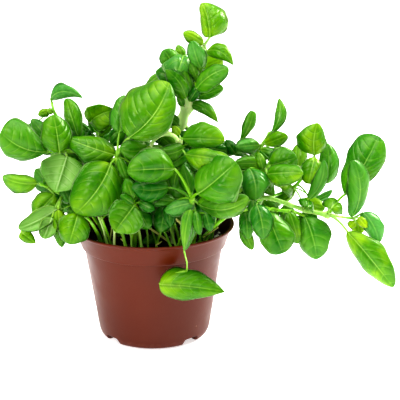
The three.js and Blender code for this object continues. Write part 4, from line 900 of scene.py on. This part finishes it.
def mix_material(looks):
    """Potting mix: near black, with browner crumbs, pale grains of perlite and slivers of bark by their mark."""
    paint = Paint("Potting mix")
    fit, grain = paint.fit, paint.mark("grain")
    colour = paint.layers(
        looks.colour, (fit(paint.noise(260, 5), 0.4, 0.7), looks.crumb), (fit(grain, 0.4, 0.6), looks.bark),
        (fit(grain, 0.65, 0.8), looks.straw), (fit(grain, 0.9, 1.0), looks.perlite))
    return paint.surface(colour, 0.95, {"Specular IOR Level": 0.25}, paint.noise(900, 4), 0.0006, 0.8)


def tint(name, description, *colour):
    """A colour setting whose default is given as a screen colour."""
    return bpy.props.FloatVectorProperty(name=name, description=description, subtype="COLOR", default=srgb(*colour))


def share(name, description, default, low=0.0):
    """A setting between low and 1."""
    return bpy.props.FloatProperty(
        name=name, description=description, default=default, min=low, max=1, subtype="FACTOR")


def span(name, description, default):
    """A length setting in metres."""
    return bpy.props.FloatProperty(
        name=name, description=description, default=default, unit="LENGTH", subtype="DISTANCE")


class BasilLeafLooks(bpy.types.PropertyGroup):
    """Colours and gloss of the leaves and stems."""

    dark: tint("Dark", "Shaded leaf", 10, 108, 0)
    middle: tint("Middle", "Most leaves", 86, 147, 0)
    bright: tint("Bright", "Young leaf", 162, 202, 0)
    young: tint("Youngest", "Buds and youngest leaves", 192, 224, 6)
    # Greyish green laid over a leaf by its sheen mark: partly the leaf's own colour, partly painted sheen.
    grey_sheen: tint("Grey", "Matt grey-green leaf", 100, 172, 82)
    under: tint("Underside", "Underside of a leaf", 150, 196, 108)
    # Pale colour of the ribs below, used also for the painted highlight on each leaf's margin.
    rib_below_and_rim_highlight: tint("Ribs below", "Veins on the underside", 196, 228, 160)
    vein: tint("Veins", "Midrib and side veins", 184, 228, 104)
    stem: tint("Stem", "Green stem", 136, 192, 36)
    stem_pale: tint("Pale stem", "Pale stem", 232, 253, 182)
    through: tint("Light through", "Light that comes through", 150, 230, 0)
    light_through: share("Thinness", "Share of light let through", 0.28)
    gloss: share("Roughness", "Roughness of the leaf", 0.27, 0.1)


class BasilPotLooks(bpy.types.PropertyGroup):
    """Sizes, colours and gloss of the pot."""

    rim_radius: span("Rim radius", "Outside of the rim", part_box("pot")[1][0])
    height: span("Height", "Height of the pot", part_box("pot")[1][2])
    colour: tint("Colour", "Terracotta brown plastic", 97, 34, 4)
    shade: tint("Shade", "Darker clouding", 90, 30, 4)
    speck: tint("Speck", "Moulding specks and scuffs", 178, 122, 98)
    gloss: share("Roughness", "Roughness of the plastic", 0.36, 0.1)


class BasilMixLooks(bpy.types.PropertyGroup):
    """Colours and crumbs of the potting mix."""

    colour: tint("Mix", "Damp peat", 24, 18, 16)
    crumb: tint("Crumb", "Drier crumbs", 52, 38, 30)
    bark: tint("Bark", "Slivers of bark", 92, 66, 46)
    straw: tint("Straw", "Dry stalks", 218, 218, 132)
    perlite: tint("Perlite", "White grains", 214, 208, 198)
    crumbs: bpy.props.IntProperty(
        name="Crumbs", description="Loose crumbs on top", default=420, min=0, max=2000)


class BasilStageLooks(bpy.types.PropertyGroup):
    """Camera, lights and floor."""

    lens: bpy.props.FloatProperty(name="Lens", description="Focal length", default=90, subtype="DISTANCE_CAMERA")
    floor: bpy.props.FloatVectorProperty(
        name="Floor", description="Pale floor", subtype="COLOR", default=(0.86, 0.86, 0.86))
    lift: bpy.props.FloatProperty(
        name="Floor lift", description="Glow that keeps the far floor pale", default=0.45, min=0)
    around: bpy.props.FloatProperty(
        name="Surround", description="Strength of the white surround", default=0.45, min=0)
    key: bpy.props.FloatProperty(
        name="Key light", description="Power of the main soft light", default=24, unit="POWER")


class BASIL_OT_pot(bpy.types.Operator):
    """Make the moulded pot: a wall profile turned round the axis, its foot notched and its floor drilled."""

    bl_idname = "basil.pot"
    bl_label = "Pot"

    def execute(self, context):
        looks = context.scene.basil_pot
        rim, top = looks.rim_radius / MM, looks.height / MM
        inner = rim - LIP_WIDTH
        # Radius, height and rounding of each corner: up from the middle pad over the drain channel and the foot
        # ring, up the wall, out to the collar and the lip, and back down inside.
        corners = [
            (15, 0, 0.6), (17.5, 6.4, 0.6), (36.1, 6.4, 0.8), (37.6, 0, 0.7), (41, 0, 1.0), (43.8, 1.3, 1.2),
            (45.2, 5, 2.0), (55.9, top - 17.5, 0.5), (58, top - 17, 0.8), (62.6, top - 2.6, 1.5),
            (rim, top - 1.6, 0.8), (rim, top, 0.8), (inner, top, 0.8), (inner - 1.2, top - 1.8, 0.8),
            (56.7, top - 15.4, 0.8), (54.6, top - 17.2, 0.8), (43.9, 7.7, 1.5), (16.5, 7.7, 0.6), (13.8, 1.3, 0.6),
        ]
        ends = (0, 0), (0, POT_WALL)
        outline = rounded_outline(
            [ends[0], *[corner[:2] for corner in corners], ends[1]], [0, *[corner[2] for corner in corners], 0])
        angles = round_turn(POT_SIDES)
        radius, height = outline[1:-1, :1], outline[1:-1, 1:]
        rings = np.stack([radius * np.cos(angles), radius * np.sin(angles), height + 0 * angles], -1)
        skin = closed_skin(rings, np.zeros(3), np.array([0, 0, POT_WALL]))
        pot = make_piece("moulded_pot", [(*skin, {})], [pot_material(looks)])
        carve(pot, [notch_cutter(turn) for turn in NOTCH_TURNS] + [hole_cutter(turn) for turn in HOLE_TURNS])
        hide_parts("pot")
        return {"FINISHED"}


def rounded_outline(points, radii):
    """A polyline with each corner replaced by a short curve: five points of a quadratic through the corner's
    ends, each set back by the corner's radius or two fifths of its shorter side."""
    points = np.asarray(points, float)
    made = [points[0]]
    for i in range(1, len(points) - 1):
        before, here, after = points[i - 1:i + 2]
        room = 0.4 * min(np.linalg.norm(before - here), np.linalg.norm(after - here))
        back = min(radii[i], room)
        made.extend(bent_line(here + unit(before - here) * back, here, here + unit(after - here) * back, 5))
    return np.array([*made, points[-1]])


def notch_cutter(turn):
    """A bar along one heading whose top is 1 - |a|^9 high at a across, to cut a notch through the foot ring."""
    across = np.linspace(-1, 1, 25)
    top = NOTCH_RISE * (1 - np.abs(across) ** 9) - 0.8
    x = np.concatenate([NOTCH_HALF * across, -NOTCH_HALF * across])[:, None]
    z = np.concatenate([top, np.full(25, -1.5)])[:, None]
    angle = math.radians(turn)
    along = np.array([math.sin(angle), -math.cos(angle), 0])
    side = np.array([math.cos(angle), math.sin(angle), 0])
    near, far = along * 30.0, along * 50.0
    rings = np.array([near + side * x + UPWARD * z, far + side * x + UPWARD * z])
    return closed_skin(rings, near + UPWARD, far + UPWARD)


def hole_cutter(turn):
    """A rod that cuts a drain hole through the floor."""
    angles = round_turn(24)
    centre = HOLE_REACH * np.array([math.cos(math.radians(turn)), math.sin(math.radians(turn)), 0])
    circle = HOLE_RADIUS * np.stack([np.cos(angles), np.sin(angles), 0 * angles], -1)
    low, high = centre + UPWARD * 4.0, centre + UPWARD * 10.0
    return closed_skin(np.array([low + circle, high + circle]), low, high)


def carve(piece, skins):
    """Cuts each closed skin out of a piece by Blender's exact difference and keeps the result as its mesh."""
    for number, (points, quads, triangles) in enumerate(skins):
        mesh = bpy.data.meshes.new(f"cutter_{number}")
        mesh.from_pydata((points * MM).tolist(), [], quads.tolist() + triangles.tolist())
        cutter = new_object(mesh.name, mesh)
        cut = piece.modifiers.new("cut", "BOOLEAN")
        cut.operation, cut.solver, cut.object = "DIFFERENCE", "EXACT", cutter
        made = bpy.data.meshes.new_from_object(piece.evaluated_get(bpy.context.evaluated_depsgraph_get()))
        piece.modifiers.clear()
        piece.data = made
        bpy.data.objects.remove(cutter)


class BASIL_OT_mix(bpy.types.Operator):
    """Make the potting mix: a lumpy top on a plug, strewn with crumbs, bark, perlite and dry stalks."""

    bl_idname = "basil.mix"
    bl_label = "Potting mix"

    def execute(self, context):
        looks = context.scene.basil_mix
        chance = np.random.default_rng(SEED)
        angles = round_turn(120)
        # Two rings of the plug's foot, four of its wall and 44 of its top, which alone is lumpy.
        radii = np.concatenate([[34, 42.4], np.linspace(51, 55.6, 4), np.linspace(54.5, 1.5, 44)])
        heights = np.concatenate([[8, 8.2], np.linspace(60, 79, 4), np.full(44, MIX_TOP - 0.4)])
        lumpy = np.concatenate([np.zeros(6), np.ones(44)])
        x, y = radii[:, None] * np.cos(angles), radii[:, None] * np.sin(angles)
        z = heights[:, None] + lumpy[:, None] * lumps(x, y)
        skin = closed_skin(np.stack([x, y, z], -1), UPWARD * 8.0, UPWARD * MIX_TOP)
        skins = [(*skin, {"grain": np.zeros(len(skin[0]))})]
        for number in range(looks.crumbs):
            kind = PERLITE if number % 12 == 0 else BARK if number % 7 == 0 else CRUMB
            reach, angle = 55 * math.sqrt(chance.uniform()), chance.uniform(0, 2 * np.pi)
            place = np.array([reach * math.cos(angle), reach * math.sin(angle), 0])
            place[2] = MIX_TOP + lumps(place[0], place[1])
            size = chance.uniform(0.5, 1.3) * (1.3 if kind == CRUMB else 1.0)
            skins.append(crumb_skin(place, size, kind, chance))
        for x, y, size in GRAINS:
            skins.append(crumb_skin(np.array([x, y, MIX_TOP + 0.4 + lumps(x, y)]), size, PERLITE, chance))
        for *ends, radius in DRY_STALKS:
            low, high = seen(*ends[:3]), seen(*ends[3:])
            middle = (low + high) / 2 + np.array([0.5, -0.6, 0.4])
            tube = stem_skin([low, middle, high], [radius, radius, radius * 0.7], 0)
            skins.append((*tube[:3], {"grain": np.full(len(tube[0]), STRAW)}))
        mix = make_piece("potting_mix", skins, [mix_material(looks)])
        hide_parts("soil")
        return {"FINISHED"}


def lumps(x, y):
    """Height of the lumpy top: sines of three sizes crossing one another, 1.2, 0.7 and 0.4 mm high."""
    return (1.2 * np.sin(0.31 * x + 1) * np.cos(0.27 * y + 2)
            + 0.7 * np.sin(0.83 * x - 0.4 * y) * np.cos(0.71 * y + 0.5 * x)
            + 0.4 * np.sin(2.1 * x + 1.3 * y) * np.cos(1.9 * y - 1.1 * x))


def crumb_skin(place, size, kind, chance):
    """A small uneven lump: a ball of four rings, stretched at random three ways, and long if it is bark."""
    up = np.linspace(-0.8, 0.8, 4)[:, None]
    around = round_turn(7) + chance.uniform(0, 1)
    wide = np.sqrt(1 - up ** 2) * chance.uniform(0.75, 1.2, (4, 7))
    stretch = np.array([2.4, 0.7, 0.5]) if kind == BARK else chance.uniform(0.7, 1.3, 3)
    turn = chance.uniform(0, 2 * np.pi)
    ball = np.stack([wide * np.cos(around), wide * np.sin(around), up + 0 * around], -1) * stretch * size
    spin = np.array([[math.cos(turn), -math.sin(turn), 0], [math.sin(turn), math.cos(turn), 0], [0, 0, 1]])
    pole = UPWARD * stretch[2] * size
    skin = closed_skin(ball @ spin.T + place, place - pole, place + pole)
    return (*skin, {"grain": np.full(len(skin[0]), kind)})


def node_corners(name):
    """The corners of a CAD node's mesh in millimetres."""
    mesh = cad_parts[name].data
    places = np.zeros(len(mesh.vertices) * 3, np.float32)
    mesh.vertices.foreach_get("co", places)
    return places.reshape(-1, 3).astype(float) / MM


def model_shift(row, corners):
    """The depth a leaf was moved by in the model: the one that brings its tip nearest to a corner of the node."""
    tips = np.array([seen(row[4], row[5], row[6] + shift) for shift in SHIFTS])
    gaps = np.linalg.norm(corners[None] - tips[:, None], axis=-1).min(1)
    return SHIFTS[int(gaps.argmin())]


def stem_skins(name, number):
    """Skins of one leafy stem, its tube, its fork and every leaf, and the points of its smooth limbs."""
    stem, corners = STEMS[name], node_corners(name)
    pale = stem.get("pale", 0.0)
    limbs = [[seen(*point[:3]) for point in stem[key]] for key in ("path", "fork") if key in stem]
    radii = [[point[3] for point in stem[key]] for key in ("path", "fork") if key in stem]
    foot = [np.array([*stem["root"], height]) for height in (MIX_TOP - STEM_SUNK, MIX_TOP + 3)]
    tubes = [foot + limbs[0], *limbs[1:]]
    radii[0] = [radii[0][0]] * 2 + radii[0]
    joints, leaves = [], []
    for group in ("leaves", "hidden", "filling"):
        for row in stem.get(group, []):
            limb, place = limbs[1 if row[0] >= 10 else 0], row[0] % 10
            i = min(int(place), len(limb) - 2)
            start = limb[i] + (limb[i + 1] - limb[i]) * (place - i)
            form = row[7:]
            if isinstance(form[-1], list):
                start = seen(*form.pop())
            joints.append(start)
            shift = OWN_DEPTH.get((name, len(leaves)), 0 if group == "filling" else model_shift(row, corners))
            base, tip = seen(row[1], row[2], row[3] + shift), seen(row[4], row[5], row[6] + shift)
            leaves.append(leaf_skin(base, tip, form, start, group == "hidden", 100 * number + len(leaves)))
    joints = np.unique(np.round(joints, 1), axis=0)
    slender = SLENDER + 0.26 * pale
    skins = [stem_skin(line, np.array(radius) * slender, pale, joints) for line, radius in zip(tubes, radii)]
    return skins + leaves, np.concatenate([curve_through(limb, np.zeros(len(limb)), 6)[0] for limb in limbs])


def in_ellipses(points, ellipses):
    """Whether each point is seen inside any of the ellipses, given as x, height and their half spans first."""
    x, up = flat_place(points)
    inside = np.zeros(len(points), bool)
    for ellipse in ellipses:
        inside |= ((x - ellipse[0]) / ellipse[2]) ** 2 + ((up - ellipse[1]) / ellipse[3]) ** 2 < 1
    return inside


def tree_of(skin, first=0):
    """A search tree of a skin's faces, those before a given quad left out."""
    points, quads, triangles = skin[:3]
    return BVHTree.FromPolygons(points.tolist(), quads[first:].tolist() + triangles.tolist())


def inner_leaves(skins, limbs):
    """Small leaves, their dark tones painted shade, that fill the plant between those of the model, drawn at random in
    each thicket, kept where they touch no other leaf, show in no gap and stay in the thickets, and added to the nearest
    stem."""
    chance = np.random.default_rng(SEED + 1)
    names = list(limbs)
    owners = np.concatenate([np.full(len(limbs[name]), i) for i, name in enumerate(names)])
    nodes = np.concatenate([limbs[name] for name in names])
    trees = [tree_of(skin) for name in names for skin in skins[name]]
    boxes = [(skin[0].min(0), skin[0].max(0)) for name in names for skin in skins[name]]
    number = 5000
    for x, up, reach_x, reach_up, near, far, count, small, large, tone in THICKETS:
        made = 0
        for _ in range(count * TRIES):
            if made == count:
                break
            angle, radius = chance.uniform(0, 2 * np.pi), math.sqrt(chance.uniform())
            across, above = reach_x * radius * math.cos(angle), reach_up * radius * math.sin(angle)
            base = seen(x + across, up + above, chance.uniform(near, far))
            length = chance.uniform(small, large)
            # It grows outwards and a little down, and is held by a stem's nearest point, rather one below it.
            way = unit(chance.normal(size=3) + 0.9 * unit(base - PLANT_HEART) - np.array([0, 0, 0.3]))
            wide, turn, arch, cup, sway, lighter, grey_sheen, point = (chance.uniform(*ends) for ends in INNER_FORM)
            form = (length * wide, arch, tone + lighter, turn, cup, sway, grey_sheen, 0, point)
            gaps = np.linalg.norm(nodes - (base - way * 7), axis=1) + 0.4 * np.maximum(nodes[:, 2] - base[2], 0)
            nearest = int(gaps.argmin())
            number += 1
            if gaps[nearest] > FARTHEST_HOLD:
                continue
            skin = leaf_skin(base, base + way * length, form, nodes[nearest], chance.uniform() < 0.4, number)
            along = skin[3]["along"]
            blade = skin[0][along > 0.02]
            if not in_ellipses(blade, THICKETS).all() or in_ellipses(skin[0], GAPS).any():
                continue
            low, high = blade.min(0) - 1, blade.max(0) + 1
            tree = tree_of(skin, PETIOLE_RINGS * (int((along == -1).sum()) - 1))
            if any((low < box[1]).all() and (high > box[0]).all() and tree.overlap(other)
                   for other, box in zip(trees, boxes)):
                continue
            trees.append(tree)
            boxes.append((blade.min(0), blade.max(0)))
            skins[names[owners[nearest]]].append(skin)
            made += 1


class BASIL_OT_stems(bpy.types.Operator):
    """Make every leafy stem, a piece for each, standing for its node, and the thin bare stalks."""

    bl_idname = "basil.stems"
    bl_label = "Leafy stems"

    def execute(self, context):
        looks = context.scene.basil_leaf
        leaf, stalk = leaf_material(looks), stem_material(looks)
        skins, limbs = {}, {}
        for number, name in enumerate(STEMS):
            skins[name], limbs[name] = stem_skins(name, number)
        inner_leaves(skins, limbs)
        for name in STEMS:
            tubes = 2 if "fork" in STEMS[name] else 1
            piece = make_piece(name.replace("stem", "leafy"), skins[name], [leaf, stalk], tubes)
            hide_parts(name)
        bare = []
        for x, up, x_high, up_high, depth, radius, tone in STALKS:
            low, high = seen(x, up, depth), seen(x_high, up_high, depth)
            root = low + (low - high) * (low[2] - STALK_FOOT) / (high[2] - low[2])
            middle = (low + high) / 2 + np.array([0.6, 0.5, 0])
            bare.append(stem_skin([root, low, middle, high], [radius] * 4, tone))
        make_piece("thin_stalks", bare, [stalk])
        return {"FINISHED"}


class BASIL_OT_stage(bpy.types.Operator):
    """Set the camera at the photograph's angle over a pale floor, in soft light from all round."""

    bl_idname = "basil.stage"
    bl_label = "Stage"

    def execute(self, context):
        looks = context.scene.basil_stage
        scene = context.scene
        camera = bpy.data.cameras.new("camera")
        camera.lens, camera.sensor_width = looks.lens, 36
        camera.clip_start, camera.clip_end = 0.05, 100
        scene.camera = new_object("camera", camera)
        scene.camera.location = EYE * MM
        scene.camera.rotation_euler = (math.radians(90) - TILT, 0, 0)
        scene.world = bpy.data.worlds.new("surround")
        scene.world.use_nodes = True
        background = scene.world.node_tree.nodes["Background"].inputs
        background[0].default_value, background[1].default_value = (1, 0.98, 0.93, 1), looks.around
        scene.view_settings.view_transform = "Standard"
        scene.view_settings.look = "High Contrast"
        for name, place, size, power in (
            ("overhead", (-0.1, -0.2, 1.7), 1.6, looks.key),
            ("key", (-0.9, -1.3, 1.0), 0.7, looks.key * 0.4),
            ("rim", (1.1, 0.5, 1.1), 0.7, looks.key * 1.1),
        ):
            lamp = bpy.data.lights.new(name, "AREA")
            lamp.energy, lamp.size = power, size
            holder = new_object(name, lamp)
            holder.location = place
            way = unit(np.array([0.03, 0, 0.12]) - np.array(place))
            holder.rotation_euler = (math.acos(-way[2]), 0, math.atan2(-way[0], way[1]))
        half = 14.0
        mesh = bpy.data.meshes.new("floor")
        mesh.from_pydata([(-half, -half, 0), (half, -half, 0), (half, half, 0), (-half, half, 0)], [], [(0, 1, 2, 3)])
        floor = new_object("floor", mesh)
        floor.location = (0, 0, -0.0005)
        paint = Paint("Pale floor")
        for name, value in {"Base Color": tuple(looks.floor), "Roughness": 0.9, "Emission Color": (1, 1, 1),
                            "Emission Strength": looks.lift}.items():
            paint.put(paint.shader.inputs[name], value)
        mesh.materials.append(paint.material)
        return {"FINISHED"}


class BASIL_PT_panel(bpy.types.Panel):
    """The basil's settings and its makers in the sidebar."""

    bl_idname = "BASIL_PT_panel"
    bl_label = "Potted basil"
    bl_space_type = "VIEW_3D"
    bl_region_type = "UI"
    bl_category = "Basil"

    def draw(self, context):
        for name in GROUPS:
            group = getattr(context.scene, name)
            box = self.layout.box()
            for key in group.bl_rna.properties.keys():
                if key not in ("rna_type", "name"):
                    box.prop(group, key)
        for name in ("pot", "mix", "stems", "stage"):
            self.layout.operator(f"basil.{name}")


GROUPS = {
    "basil_leaf": BasilLeafLooks, "basil_pot": BasilPotLooks, "basil_mix": BasilMixLooks,
    "basil_stage": BasilStageLooks,
}
CLASSES = [*GROUPS.values(), BASIL_OT_pot, BASIL_OT_mix, BASIL_OT_stems, BASIL_OT_stage, BASIL_PT_panel]


def register():
    """Register the classes and hang their settings on the scene."""
    for kind in CLASSES:
        bpy.utils.register_class(kind)
    for name, kind in GROUPS.items():
        setattr(bpy.types.Scene, name, bpy.props.PointerProperty(type=kind))


def unregister():
    """Take the settings and the classes away again."""
    for name in GROUPS:
        delattr(bpy.types.Scene, name)
    for kind in reversed(CLASSES):
        bpy.utils.unregister_class(kind)


def main():
    """Make the stage and every piece."""
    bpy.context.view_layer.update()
    register()
    bpy.ops.basil.stage()
    bpy.ops.basil.pot()
    bpy.ops.basil.mix()
    bpy.ops.basil.stems()


if __name__ == "__main__":
    main()
